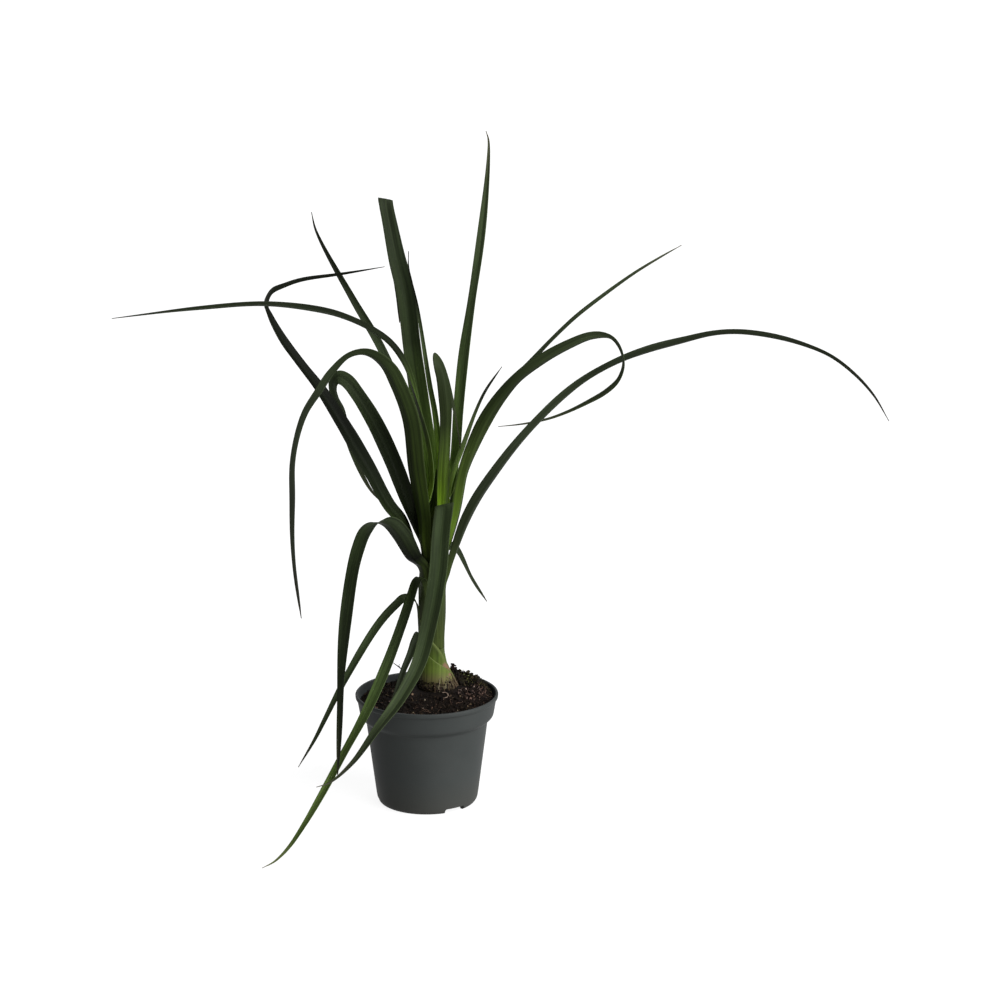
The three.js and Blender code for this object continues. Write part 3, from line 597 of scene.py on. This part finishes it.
def build_leaf(leaf, material, number):
    rng = np.random.default_rng(SEED + number)
    places, sides, inner, width, slope, along, share = blade_rows(leaf, rng)
    edge = np.linspace(-1, 1, ACROSS)
    rows = len(places)

    # The channel is rounded at the midrib, and the edges roll slightly.
    fold = np.sqrt(edge**2 + 0.03) - math.sqrt(0.03)
    fold = fold / fold[-1]
    ripple = EDGE_ROLL * np.cos(edge * 3.5 * math.pi)
    half = width / 2
    x = edge[None, :] * (half * np.cos(slope))[:, None]
    z = (fold[None, :] - 0.5) * (half * np.sin(slope))[:, None]
    z = z + ripple[None, :] * np.minimum(1, half / 4)[:, None]
    wave = EDGE_WAVE * np.sin(along / 15 + number) * smoothstep(share, 0.15, 0.4)
    wave = wave * np.minimum(1, half / 5)
    z = z + wave[:, None] * edge[None, :] ** 3
    middle = places[:, None, :] + x[..., None] * sides[:, None, :] + z[..., None] * inner[:, None, :]
    normal = np.repeat(inner[:, None, :], ACROSS, axis=1)
    lean = -np.gradient(z, axis=1) / np.maximum(np.gradient(x, axis=1), 1e-4)
    normal = unit(normal + lean[..., None] * sides[:, None, :])

    # Below the blade the foot is a sheath that wraps the stem and thins out downwards.
    angle = math.radians(leaf["azimuth"])
    depth = min(SHEATH_DEPTH, leaf["height"] - SHEATH_FLOOR)
    heights = np.linspace(leaf["height"] - depth, leaf["height"], SHEATH_ROWS, endpoint=False)
    heights = np.concatenate([heights, places[:JOIN_ROWS, 2]])
    down = (leaf["height"] - heights) / depth  # 1 at the lower end and 0 at the foot
    cx, cy, radius = trunk_at(heights)
    narrow = leaf["width"] * 0.45 / (radius + 1)
    half_angle = lerp(narrow, SHEATH_WRAP, smoothstep(down, -0.1, 1))
    off = lerp(1.15, 0.1, np.clip(down, 0, 1)) + 0.4 * smoothstep(down, 0, -0.5)
    spread = half_angle * (radius + 1)
    around = angle + edge[None, :] * half_angle[:, None]
    wrap = radius + off
    outwards = np.stack([np.cos(around), np.sin(around), np.zeros_like(around)], axis=-1)
    axis = np.stack([cx, cy, heights], axis=-1)
    wrapped = axis[:, None, :] + wrap[:, None, None] * outwards
    wrapped_normal = -outwards

    leave = smoothstep(np.arange(JOIN_ROWS) / JOIN_ROWS, 0, 1)[:, None, None]
    middle[:JOIN_ROWS] = lerp(wrapped[SHEATH_ROWS:], middle[:JOIN_ROWS], leave)
    normal[:JOIN_ROWS] = unit(lerp(wrapped_normal[SHEATH_ROWS:], normal[:JOIN_ROWS], leave))
    middle = np.concatenate([wrapped[:SHEATH_ROWS], middle])
    normal = np.concatenate([wrapped_normal[:SHEATH_ROWS], normal])

    rows += SHEATH_ROWS
    full_share = np.concatenate([np.zeros(SHEATH_ROWS), share])
    full_along = np.concatenate([(heights[:SHEATH_ROWS] - leaf["height"]), along])
    full_half = np.concatenate([spread[:SHEATH_ROWS], half])
    thin = np.concatenate([smoothstep(1 - down[:SHEATH_ROWS], -0.1, 0.8), np.ones(len(share))])
    thin *= 1 - 0.5 * smoothstep(full_share, 0.8, 1)
    body = lerp(MIDRIB_THICKNESS, EDGE_THICKNESS, np.abs(edge) ** 2)
    keel = KEEL * np.exp(-((edge / KEEL_WIDTH) ** 2))
    thickness = thin[:, None] * body[None, :]
    upper = middle + normal * (thickness / 2)[..., None]
    lower = middle - normal * (thickness / 2 + thin[:, None] * keel[None, :])[..., None]
    ring = np.concatenate([upper, lower[:, ::-1]], axis=1)

    def spread_out(values):
        return np.repeat(values[:, None], 2 * ACROSS, axis=1).ravel()

    both = np.concatenate([edge, edge[::-1]])
    clasp = np.concatenate([np.ones(SHEATH_ROWS), 1 - smoothstep(share, 0.0, 0.12)])
    attributes = {
        "share": spread_out(full_share),
        "sheath": spread_out(clasp),
        "across": np.tile(both, rows),
        "under": np.tile(np.repeat([0.0, 1.0], ACROSS), rows),
        "tone_and_painted_light": spread_out(np.interp(full_share, TONE_AND_LIGHT_SHARES, (1, *leaf["tone_and_painted_light"]))),
        "yellow": spread_out(np.interp(full_share, YELLOW_SHARES, leaf.get("yellow", (0, 0)))),
        "grain_x": (np.outer(full_half, both) * MM + number * 0.05).ravel(),
        "grain_y": spread_out(full_along * MM),
    }
    points = ring.reshape(-1, 3) * MM
    faces = [tuple(reversed(face)) for face in closed_strip_faces(rows, 2 * ACROSS)]
    make_piece(leaf["name"] + "_blade", points, faces, material, [leaf["name"]], attributes)


# ---- pot ----

POT_SEGMENTS = 240
NOTCH_AZIMUTHS = (-55, 65, 185)
NOTCH_RING = (35, 48.5)  # inner and outer radius
NOTCH_WIDTH = 26
NOTCH_HEIGHT = 4
NOTCH_ROUNDING = 1.6
DRAIN_RING = (30, 37.5)
DRAIN_WIDTH = 18
DRAIN_HEIGHT = 6
DRAIN_ROUNDING = 1
CUT_FROM = -1
CUTTER_ROWS = 41
MIDDLE_SHARE = 0.87  # a ring's middle radius as a share of its outer one
SHORTEST_EDGE = 2e-6  # metres
SMALLEST_FACE = 1e-12  # square metres

# Radius and height round the wall of the pot, and how far each corner is rounded.
POT_SECTION = [
    (0, 0, 0), (15.5, 0, 1), (18, 3.4, 1), (36, 3.4, 0.8), (38, 0, 0.4), (40.5, 0, 0.7),
    (42.2, 2.4, 2), (43, 6.8, 3), (51.2, 71, 1.2), (56, 75, 2.2), (58.4, 89.4, 0.5),
    (59.8, 90.4, 0.7), (60, 93.1, 0.7), (58.9, 94, 0.6), (57.6, 93.4, 0.5), (57.1, 89, 1.5),
    (54.8, 75, 2), (50, 71, 1.2), (41.8, 6.8, 1.5), (39.5, 4.6, 1), (17, 4.6, 1),
    (14.5, 1.2, 1), (0, 1.2, 0),
]


def rounded(section, steps=5):
    """The outline with each corner replaced by a short curve."""
    corners = np.array([corner[:2] for corner in section], float)
    outline = [corners[0]]
    for i in range(1, len(section) - 1):
        before, here, after = corners[i - 1], corners[i], corners[i + 1]
        reach = section[i][2]
        first = here + unit(before - here) * min(reach, 0.45 * np.linalg.norm(before - here))
        last = here + unit(after - here) * min(reach, 0.45 * np.linalg.norm(after - here))
        for t in np.linspace(0, 1, steps):
            outline.append((1 - t) ** 2 * first + 2 * t * (1 - t) * here + t * t * last)
    outline.append(corners[-1])
    return np.array(outline)


def finely(outline, longest):
    """The outline with long stretches cut into steps no longer than a length."""
    fine = [outline[0]]
    for a, b in zip(outline[:-1], outline[1:]):
        pieces = max(1, math.ceil(np.linalg.norm(b - a) / longest))
        fine.extend(a + (b - a) * k / pieces for k in range(1, pieces + 1))
    return np.array(fine)


def turned(outline, segments):
    """Points and faces of a solid of revolution whose outline starts and ends on the axis."""
    angles = full_turn(segments)
    rings = outline[1:-1]
    points = [
        (radius * math.cos(angle), radius * math.sin(angle), height)
        for radius, height in rings
        for angle in angles
    ]
    points += [(0, 0, outline[0][1]), (0, 0, outline[-1][1])]
    start, end = len(points) - 2, len(points) - 1
    last = (len(rings) - 1) * segments
    faces = []
    for side in range(segments):
        nxt = (side + 1) % segments
        faces.append((start, nxt, side))
        faces.append((end, last + side, last + nxt))
        for row in range(len(rings) - 1):
            a, b = row * segments + side, row * segments + nxt
            faces.append((a, b, b + segments, a + segments))
    return np.array(points), faces


def ring_cutter(inner, outer, azimuth, width, top, rounding):
    """A tool that cuts a sector of a ring from below, with rounded upper corners."""
    half = math.radians(width / 2)
    middle = math.radians(azimuth)
    rows = []
    for offset in np.linspace(-half, half, CUTTER_ROWS):
        inset = max(0, rounding - (half - abs(offset)) * outer * MIDDLE_SHARE)
        height = top - rounding + math.sqrt(max(0, rounding**2 - inset**2))
        near, far = inner * ray(middle + offset), outer * ray(middle + offset)
        rows += [(*near, CUT_FROM), (*far, CUT_FROM), (*far, height), (*near, height)]
    return rows, [tuple(reversed(face)) for face in closed_strip_faces(CUTTER_ROWS, 4)]


def carve(piece, cutters):
    """The piece's mesh with the cutters taken out of it."""
    tools = []
    for points, faces in cutters:
        mesh = bpy.data.meshes.new("cutter")
        mesh.from_pydata([tuple(value * MM for value in point) for point in points], [], faces)
        tool = put("cutter", mesh)
        tools.append(tool)
        modifier = piece.modifiers.new("cut", "BOOLEAN")
        modifier.operation = "DIFFERENCE"
        modifier.solver = "EXACT"
        modifier.object = tool
    bpy.context.view_layer.update()
    graph = bpy.context.evaluated_depsgraph_get()
    carved = bpy.data.meshes.new_from_object(piece.evaluated_get(graph))
    piece.modifiers.clear()
    # The cuts leave a few slivers with no area; they come out again.
    clean = bmesh.new()
    clean.from_mesh(carved)
    bmesh.ops.triangulate(clean, faces=clean.faces[:])
    bmesh.ops.dissolve_degenerate(clean, edges=clean.edges[:], dist=SHORTEST_EDGE)
    slivers = [face for face in clean.faces if face.calc_area() < SMALLEST_FACE]
    bmesh.ops.delete(clean, geom=slivers, context="FACES")
    clean.to_mesh(carved)
    clean.free()
    piece.data = carved
    for tool in tools:
        bpy.data.objects.remove(tool)
    return piece


def plastic_material():
    n = Nodes("plastic")
    where = n.at()
    grain = n.noise(where, 900.0, detail=3.0)
    cloud = n.noise(where, 26.0, detail=4.0, roughness=0.6)
    height = n.height()
    grey = n.ramp(cloud, (0.3, (0.0208, 0.0232, 0.0226)), (0.7, (0.0243, 0.0268, 0.0260)))
    olive = n.ramp(height, (0.0, 1.0), (0.12, 0.0))
    grey = n.mix(n.product(olive, 0.6), grey, (0.028, 0.0275, 0.0235))
    dust = n.ramp(n.noise(where, 240.0, detail=5.0, roughness=0.7), (0.66, 0.0), (0.8, 0.5))
    high = n.ramp(height, (0.288, 0.15), (0.344, 1.0))
    grey = n.mix(n.product(dust, high), grey, (0.060, 0.060, 0.050))
    roughness = n.ramp(cloud, (0.3, 0.50), (0.7, 0.6))
    rough = n.bump(grain, 0.00003, 0.5)
    return n.finish(Base_Color=grey, Roughness=roughness, Normal=rough, Specular_IOR_Level=0.06)


def build_pot():
    points, faces = turned(finely(rounded(POT_SECTION), 3.0), POT_SEGMENTS)
    pot = make_piece("pot_shell", points * MM, faces, plastic_material(), ["pot"])
    cutters = []
    for azimuth in NOTCH_AZIMUTHS:
        cutters.append(ring_cutter(*NOTCH_RING, azimuth, NOTCH_WIDTH, NOTCH_HEIGHT, NOTCH_ROUNDING))
        cutters.append(ring_cutter(*DRAIN_RING, azimuth, DRAIN_WIDTH, DRAIN_HEIGHT, DRAIN_ROUNDING))
    carve(pot, cutters)
    pot.data.set_sharp_from_angle(angle=math.radians(40))


# ---- trunk ----

TRUNK_SIDES = 120
TRUNK_ROWS = 260
SCAR_AZIMUTH = math.radians(328)
SCAR_HEIGHT = 113.5
SCAR_REACH = 7
SCAR_WIDTH = 0.4  # radians
SMOOTHS_OUT = (104, 124)  # heights between which the wrinkles fade


def bark_material():
    """Smooth green skin above, tan wrinkled skin below, and a pink scar with a red spot; partway
    up the skin is darker with painted shade under the crown.
    """
    n = Nodes("bark")
    where = n.at()
    height = n.height()
    around = n.attribute("around")
    scar = n.attribute("scar")
    streaks = n.noise(n.place(n.product(around, 9.0), n.product(height, 50.0), 0.0), 1.0, 3.0)
    rings = n.noise(n.place(around, n.product(height, 275.0), 0.0), 1.0, 4.0, 0.65)
    blotch = n.noise(where, 180.0, detail=4.0, roughness=0.6)
    base = n.ramp(height, *STEM_GREENS_AND_SHADE)
    base = n.times(base, n.ramp(streaks, (0.3, 0.5), (0.7, 1.45)))
    low = n.ramp(height, (0.41, 1.0), (0.45, 0.0))
    wrinkled = n.times(base, n.ramp(rings, (0.35, 0.5), (0.65, 1.35)))
    base = n.mix(low, base, wrinkled)
    papery = n.product(n.ramp(blotch, (0.5, 0.0), (0.6, 0.6)), low)
    base = n.mix(papery, base, (0.060, 0.048, 0.024))
    dirt = n.noise(where, 420.0, detail=5.0, roughness=0.75)
    buried = n.ramp(height, (0.39, 0.2), (0.42, 0.1), (0.45, 0.0))
    dirty = n.ramp(n.math("ADD", dirt, buried), (0.6, 0.0), (0.68, 0.85))
    base = n.mix(dirty, base, (0.0075, 0.0055, 0.0035))
    base = n.mix(n.ramp(scar, (0.25, 0.0), (0.6, 0.85)), base, (0.100, 0.056, 0.036))
    base = n.mix(n.ramp(scar, (0.92, 0.0), (0.97, 0.9)), base, (0.095, 0.007, 0.006))
    bump = n.bump(rings, 0.0005, 0.6, n.bump(streaks, 0.0003, 0.5))
    roughness = n.ramp(blotch, (0.3, 0.5), (0.7, 0.75))
    return n.finish(Base_Color=base, Roughness=roughness, Normal=bump, Specular_IOR_Level=0.1)


def build_trunk(material):
    heights = np.linspace(TRUNK[0, 0], TRUNK[-1, 0], TRUNK_ROWS)
    angles = full_turn(TRUNK_SIDES)
    rows, scars = [], []
    for z in heights:
        x, y, radius = trunk_at(z)
        low = 1 - float(smoothstep(z, *SMOOTHS_OUT))
        for angle in angles:
            unit_x, unit_y = ray(angle)
            relief = 0.6 * low * noise.noise(Vector((unit_x * 2.2, unit_y * 2.2, z / 9)))
            relief += 0.35 * low * noise.noise(Vector((unit_x * 1.6, unit_y * 1.6, z / 1.3)))
            relief += 0.10 * noise.noise(Vector((unit_x * 7, unit_y * 7, z / 20)))
            aside = (angle - SCAR_AZIMUTH + math.pi) % (2 * math.pi) - math.pi
            scar = math.exp(-((aside / SCAR_WIDTH) ** 2) - ((z - SCAR_HEIGHT) / SCAR_REACH) ** 2)
            scars.append(scar)
            reach = radius + relief - 0.1 + 0.5 * scar
            rows.append((x + reach * unit_x, y + reach * unit_y, z))
    faces = closed_strip_faces(TRUNK_ROWS, TRUNK_SIDES)
    attributes = {"around": np.tile(angles, TRUNK_ROWS), "scar": scars}
    points = np.array(rows) * MM
    make_piece("trunk_skin", points, faces, material, ["trunk"], attributes)


# ---- soil ----

SOIL_SIDES = 300
SOIL_RINGS = 90
SOIL_EDGE = 87
SOIL_MOUND = 11
SOIL_HEAP = 8
SOIL_HEAP_AZIMUTH = math.radians(40)
SOIL_ROUGHNESS = 1.2
SOIL_REACH = 56.7  # radius at the pot's wall
HOLE_RIM = 98
GAP = 0.3


def soil_point(angle, share):
    """Point of the soil's surface: share is 0 at the pot's wall and 1 at the trunk."""
    edge_height = SOIL_EDGE + 1.5 * math.cos(angle - SOIL_HEAP_AZIMUTH)
    wall = np.interp(edge_height, (75, 90), (54.8, 57.2)) - GAP
    x, y, radius = trunk_at(HOLE_RIM)
    place = lerp(wall * ray(angle), (x, y) + (radius + GAP) * ray(angle), share)
    lobe = max(0, math.cos(angle - SOIL_HEAP_AZIMUTH))
    heap = SOIL_HEAP * lobe * math.sin(math.pi * min(1, share * 1.4))
    z = edge_height + SOIL_MOUND * float(smoothstep(share, 0, 1)) + max(0, heap)
    inside = math.sin(math.pi * share)
    z += SOIL_ROUGHNESS * inside * noise.noise(Vector((place[0] / 9, place[1] / 9, 3)))
    z += 1.1 * inside * noise.noise(Vector((place[0] / 3.2, place[1] / 3.2, 9)))
    z += 0.6 * inside * noise.noise(Vector((place[0] / 1.3, place[1] / 1.3, 5)))
    return np.array([*place, z])


def soil_material():
    """Dark peat. shade is 0 for black crumbs and 1 for the palest bits, and moss is 1 for
    olive ones, 0 for brown and -1 for purple."""
    n = Nodes("peat")
    where = n.at()
    shade = n.attribute("shade")
    moss = n.attribute("moss")
    fine = n.noise(where, 1500.0, detail=4.0, roughness=0.7)
    coarse = n.noise(where, 260.0, detail=3.0)
    brown = n.ramp(
        shade,
        (0.0, (0.0016, 0.0012, 0.0010)),
        (0.45, (0.0062, 0.0040, 0.0027)),
        (0.7, (0.021, 0.013, 0.0085)),
        (0.88, (0.075, 0.048, 0.034)),
        (1.0, (0.160, 0.132, 0.105)),
    )
    olive = n.times(brown, (0.95, 1.5, 0.7))
    purple = n.times(brown, (1.3, 0.8, 2.6))
    brown = n.mix(n.ramp(moss, (0.0, 0.0), (1.0, 1.0)), brown, olive)
    brown = n.mix(n.ramp(n.product(moss, -1.0), (0.0, 0.0), (1.0, 1.0)), brown, purple)
    brown = n.times(brown, n.ramp(fine, (0.3, 0.5), (0.7, 1.6)))
    brown = n.times(brown, n.ramp(coarse, (0.3, 0.75), (0.7, 1.3)))
    roughness = n.ramp(fine, (0.3, 0.85), (0.7, 1.0))
    rough = n.bump(fine, 0.0004, 0.8)
    return n.finish(Base_Color=brown, Roughness=roughness, Normal=rough, Specular_IOR_Level=0.06)


def build_soil(material):
    angles = full_turn(SOIL_SIDES)
    ways = np.stack([np.cos(angles), np.sin(angles)], axis=1)

    def ring(x, y, radius, height):
        return [(x + radius * way[0], y + radius * way[1], height) for way in ways]

    # Up inside the pot, over the surface to the trunk, and down round the root.
    inside = [(14.5, 1.2), (17, 4.6), (39.5, 4.6), (41.8, 6.8), (50, 71), (54.8, 75)]
    rings = [ring(0, 0, radius - GAP, height + GAP) for radius, height in inside]
    rings += [[soil_point(angle, share) for angle in angles] for share in np.linspace(0, 1, SOIL_RINGS)]
    for z, x, y, radius in TRUNK[TRUNK[:, 0] < HOLE_RIM][::-1]:
        depth = z - (GAP if z == TRUNK[0, 0] else 0)
        rings.append(ring(x, y, radius + GAP, depth))
    points = np.array(rings).reshape(-1, 3)
    faces = closed_strip_faces(len(rings), SOIL_SIDES)
    shade = [0.22 + 0.4 * noise.noise(Vector(point) / 2.2) for point in points]
    attributes = {"shade": shade, "moss": np.zeros(len(points))}
    make_piece("soil_body", points * MM, faces, material, ["soil"], attributes)


def on_soil(px, py):
    """The point of the soil's surface above or below a place."""
    x, y, radius = trunk_at(HOLE_RIM)
    low, high = 0.0, 1.0
    for _ in range(24):
        share = (low + high) / 2
        offset = math.hypot(px - share * x, py - share * y)
        if offset < lerp(SOIL_REACH, radius + GAP, share):
            low = share
        else:
            high = share
    angle = math.atan2(py - share * y, px - share * x)
    return soil_point(angle, share)


# Places with their own crumbs: x, y, reach, share of pale crumbs, and moss.
CRUMB_PATCHES = [
    (37, -7, 13, 0.26, -0.05),
    (33, 17, 12, 0.10, 0.9),
    (7, -12, 6, 0.02, -0.9),
    (5, -36, 8, 0.12, 0.0),
]
LOOSE_CRUMBS = 5200
CLUMP = (22, 13.5)
CLUMP_CRUMBS = 480
CLUMP_HEIGHT = 15.5
CLUMP_SPREAD = (3.8, 2.8)
CLUMP_WIDTH = 5
HEAP_CRUMBS = 110
HEAP_AZIMUTHS = (5, 62)
HEAP_REACHES = (28, 53)
COLLAR_CRUMBS = 300
COLLAR_FOOT = 98.5
COLLAR_RISE = 7
FIBRES = 260
FIBRE_REACH = 55
ROOTS = 22


def ball():
    """Points and faces of a twenty-sided ball."""
    g = (1 + 5**0.5) / 2
    points = [(-1, g, 0), (1, g, 0), (-1, -g, 0), (1, -g, 0), (0, -1, g), (0, 1, g)]
    points += [(0, -1, -g), (0, 1, -g), (g, 0, -1), (g, 0, 1), (-g, 0, -1), (-g, 0, 1)]
    faces = [(0, 11, 5), (0, 5, 1), (0, 1, 7), (0, 7, 10), (0, 10, 11), (1, 5, 9), (5, 11, 4)]
    faces += [(11, 10, 2), (10, 7, 6), (7, 1, 8), (3, 9, 4), (3, 4, 2), (3, 2, 6), (3, 6, 8)]
    faces += [(3, 8, 9), (4, 9, 5), (2, 4, 11), (6, 2, 10), (8, 6, 7), (9, 8, 1)]
    return unit(np.array(points, float)), faces


def peat_piece(name, points, faces, shades, mosses, material, smooth=True):
    """One piece from lists of arrays, one array for each crumb or fibre."""
    attributes = {"shade": np.concatenate(shades), "moss": np.concatenate(mosses)}
    make_piece(name, np.concatenate(points) * MM, faces, material, [], attributes, smooth)


def scatter_crumbs(material):
    rng = np.random.default_rng(SEED)
    ball_points, ball_faces = ball()
    points, faces, shades, mosses = [], [], [], []

    def drop(place, size, shade, moss):
        stretch = rng.uniform(0.5, 1.35, 3)
        jitter = rng.uniform(0.7, 1.25, (12, 1))
        turn = np.array(Euler(rng.uniform(0, 6.28, 3)).to_matrix())
        lump = (ball_points * jitter * stretch) @ turn.T * size + place
        base = len(points) * 12
        points.append(lump)
        faces.extend(tuple(base + corner for corner in face) for face in ball_faces)
        shades.append(np.full(12, shade))
        mosses.append(np.full(12, moss))

    for _ in range(LOOSE_CRUMBS):
        angle = rng.uniform(0, 2 * math.pi)
        share = 1 - math.sqrt(rng.uniform(0.02, 1))
        place = soil_point(angle, min(0.985, share))
        size = min(1.9, 0.42 * math.exp(rng.normal(0, 0.5)) + 0.1)
        pale, moss = 0.03, rng.uniform(-0.2, 0.3)
        for x, y, reach, share_of_pale, lean in CRUMB_PATCHES:
            if math.hypot(place[0] - x, place[1] - y) < reach:
                pale, moss = share_of_pale, lean
        shade = rng.uniform(0.76, 0.96) if rng.random() < pale else rng.uniform(0.0, 0.6)
        drop(place + np.array([0, 0, size * 0.25]), size, shade, moss)

    for _ in range(CLUMP_CRUMBS):
        away = rng.normal(0, 1, 2) * CLUMP_SPREAD
        place = on_soil(CLUMP[0] + away[0], CLUMP[1] + away[1])
        peak = CLUMP_HEIGHT * math.exp(-((away[0] / CLUMP_WIDTH) ** 2) - (away[1] / CLUMP_WIDTH) ** 2)
        place[:2] = CLUMP + away
        place[2] += rng.uniform(0, 1) * peak
        drop(place, rng.uniform(0.5, 1.5), rng.uniform(0.0, 0.5), 0)

    for _ in range(HEAP_CRUMBS):
        angle, reach = math.radians(rng.uniform(*HEAP_AZIMUTHS)), rng.uniform(*HEAP_REACHES)
        place = on_soil(*(reach * ray(angle)))
        place[2] += rng.uniform(0, 1.8)
        drop(place, rng.uniform(0.9, 2.1), rng.uniform(0.1, 0.66), rng.uniform(0, 0.6))

    for _ in range(COLLAR_CRUMBS):
        angle = rng.uniform(0, 2 * math.pi)
        z = COLLAR_FOOT + COLLAR_RISE * rng.uniform(0, 1) ** 2.2
        x, y, radius = trunk_at(z)
        out = radius + rng.uniform(0, 0.8)
        place = np.array([*((x, y) + out * ray(angle)), z])
        drop(place, rng.uniform(0.35, 1.0), rng.uniform(0.1, 0.72), rng.uniform(-0.2, 0.4))

    peat_piece("soil_crumbs", points, faces, shades, mosses, material, smooth=False)


def tubes(name, threads, material, steps=5, sides=5):
    """One piece of thin closed tubes. A thread is its route, radius, shade and moss."""
    points, faces, shades, mosses = [], [], [], []
    base = 0
    angles = full_turn(sides)
    for route, radius, shade, moss in threads:
        places, directions = curve_through(route, steps)
        side_ways = carry_sides(places, directions, np.array([0.31, 0.87, 0.38]))
        inner = np.cross(directions, side_ways)
        rows = len(places)
        thick = radius * (1 - 0.55 * np.linspace(0, 1, rows) ** 2)
        ring = np.cos(angles)[None, :, None] * side_ways[:, None, :]
        ring = ring + np.sin(angles)[None, :, None] * inner[:, None, :]
        points.append((places[:, None, :] + thick[:, None, None] * ring).reshape(-1, 3))
        faces += [tuple(base + corner for corner in face) for face in closed_strip_faces(rows, sides)]
        base += rows * sides
        shades.append(np.full(rows * sides, shade))
        mosses.append(np.full(rows * sides, moss))
    peat_piece(name, points, faces, shades, mosses, material)


def lay_fibres(material):
    """Short peat fibres that lie across the soil and stand up a little."""
    rng = np.random.default_rng(SEED + 50)
    threads = []
    for _ in range(FIBRES):
        angle = rng.uniform(0, 2 * math.pi)
        start = soil_point(angle, 1 - math.sqrt(rng.uniform(0.05, 0.95)))
        heading = rng.uniform(0, 2 * math.pi)
        length = rng.uniform(2.5, 8)
        route = []
        for k in range(4):
            heading += rng.normal(0, 0.35)
            step = length * k / 3
            x, y = start[:2] + step * ray(heading)
            reach = math.hypot(x, y)
            if reach > FIBRE_REACH:
                x, y = x * FIBRE_REACH / reach, y * FIBRE_REACH / reach
            place = on_soil(x, y)
            place[2] += 0.5 + rng.uniform(0, 1.1) * (1 + 0.5 * k)
            route.append(place)
        olive = start[0] > 22 and start[1] > 4
        shade = rng.uniform(0.55, 0.86) if olive else rng.choice([0.1, 0.3, 0.62, 0.8])
        threads.append((route, rng.uniform(0.12, 0.26), shade, 0.8 if olive else 0.0))
    tubes("soil_fibres", threads, material)


def lay_twigs(material):
    """A dark twig at the back left, a pale curled root in front, and ends over the rim."""
    threads = [
        ([(-20, 44, 98), (-23.5, 45, 100.5), (-27, 46, 103), (-30.5, 46.5, 105.5)], 0.55, 0.1, 0),
        ([(-23.5, 45, 100.5), (-25, 44, 103.5), (-24, 43.5, 105)], 0.3, 0.1, 0),
    ]
    curl = [(13.2, -14), (15.4, -13.2), (17.6, -15), (18, -19), (16.4, -22.4), (13.4, -23.2)]
    route = [on_soil(x, y) + (0, 0, 1.0) for x, y in curl]
    threads.append((route, 0.5, 0.93, 0))
    for x, y, lean in ((53, 28, 0.6), (54, 31, 0.2), (52, 33, -0.2), (47, 34, 0.4), (44, 30, -0.5)):
        start = on_soil(x, y)
        route = [start, start + (1.0, lean, 2.6), start + (2.4, 1.6 * lean, 4.6)]
        threads.append((route, 0.3, 0.35, 0))
    tubes("soil_twigs", threads, material)


def grow_roots(material):
    """Pale dry roots that run down the swollen base into the soil, most at its right."""
    rng = np.random.default_rng(SEED + 90)
    threads = []
    for _ in range(ROOTS):
        azimuth = math.radians(rng.normal(-32, 34))
        height = rng.uniform(101, 112)
        route = []
        for k in range(5):
            z = height - k * (height - 93) / 4
            x, y, radius = trunk_at(z)
            out = radius + 0.25 + 0.35 * k + rng.uniform(0, 0.5)
            azimuth += rng.normal(0, 0.05)
            spot = np.array([*((x, y) + out * ray(azimuth)), z])
            if k == 4:
                spot[2] = on_soil(spot[0], spot[1])[2] - 0.4
            route.append(spot)
        threads.append((route, rng.uniform(0.14, 0.28), rng.uniform(0.74, 0.95), 0.2))
    tubes("root_fibres", threads, material)


# ---- the scene ----

look_through_camera()
lay_floor()
light_studio()

build_pot()
build_trunk(bark_material())
peat = soil_material()
build_soil(peat)
scatter_crumbs(peat)
lay_fibres(peat)
lay_twigs(peat)
grow_roots(peat)
leaf_green = leaf_material()
for number, leaf in enumerate(LEAVES):
    build_leaf(leaf, leaf_green, number)
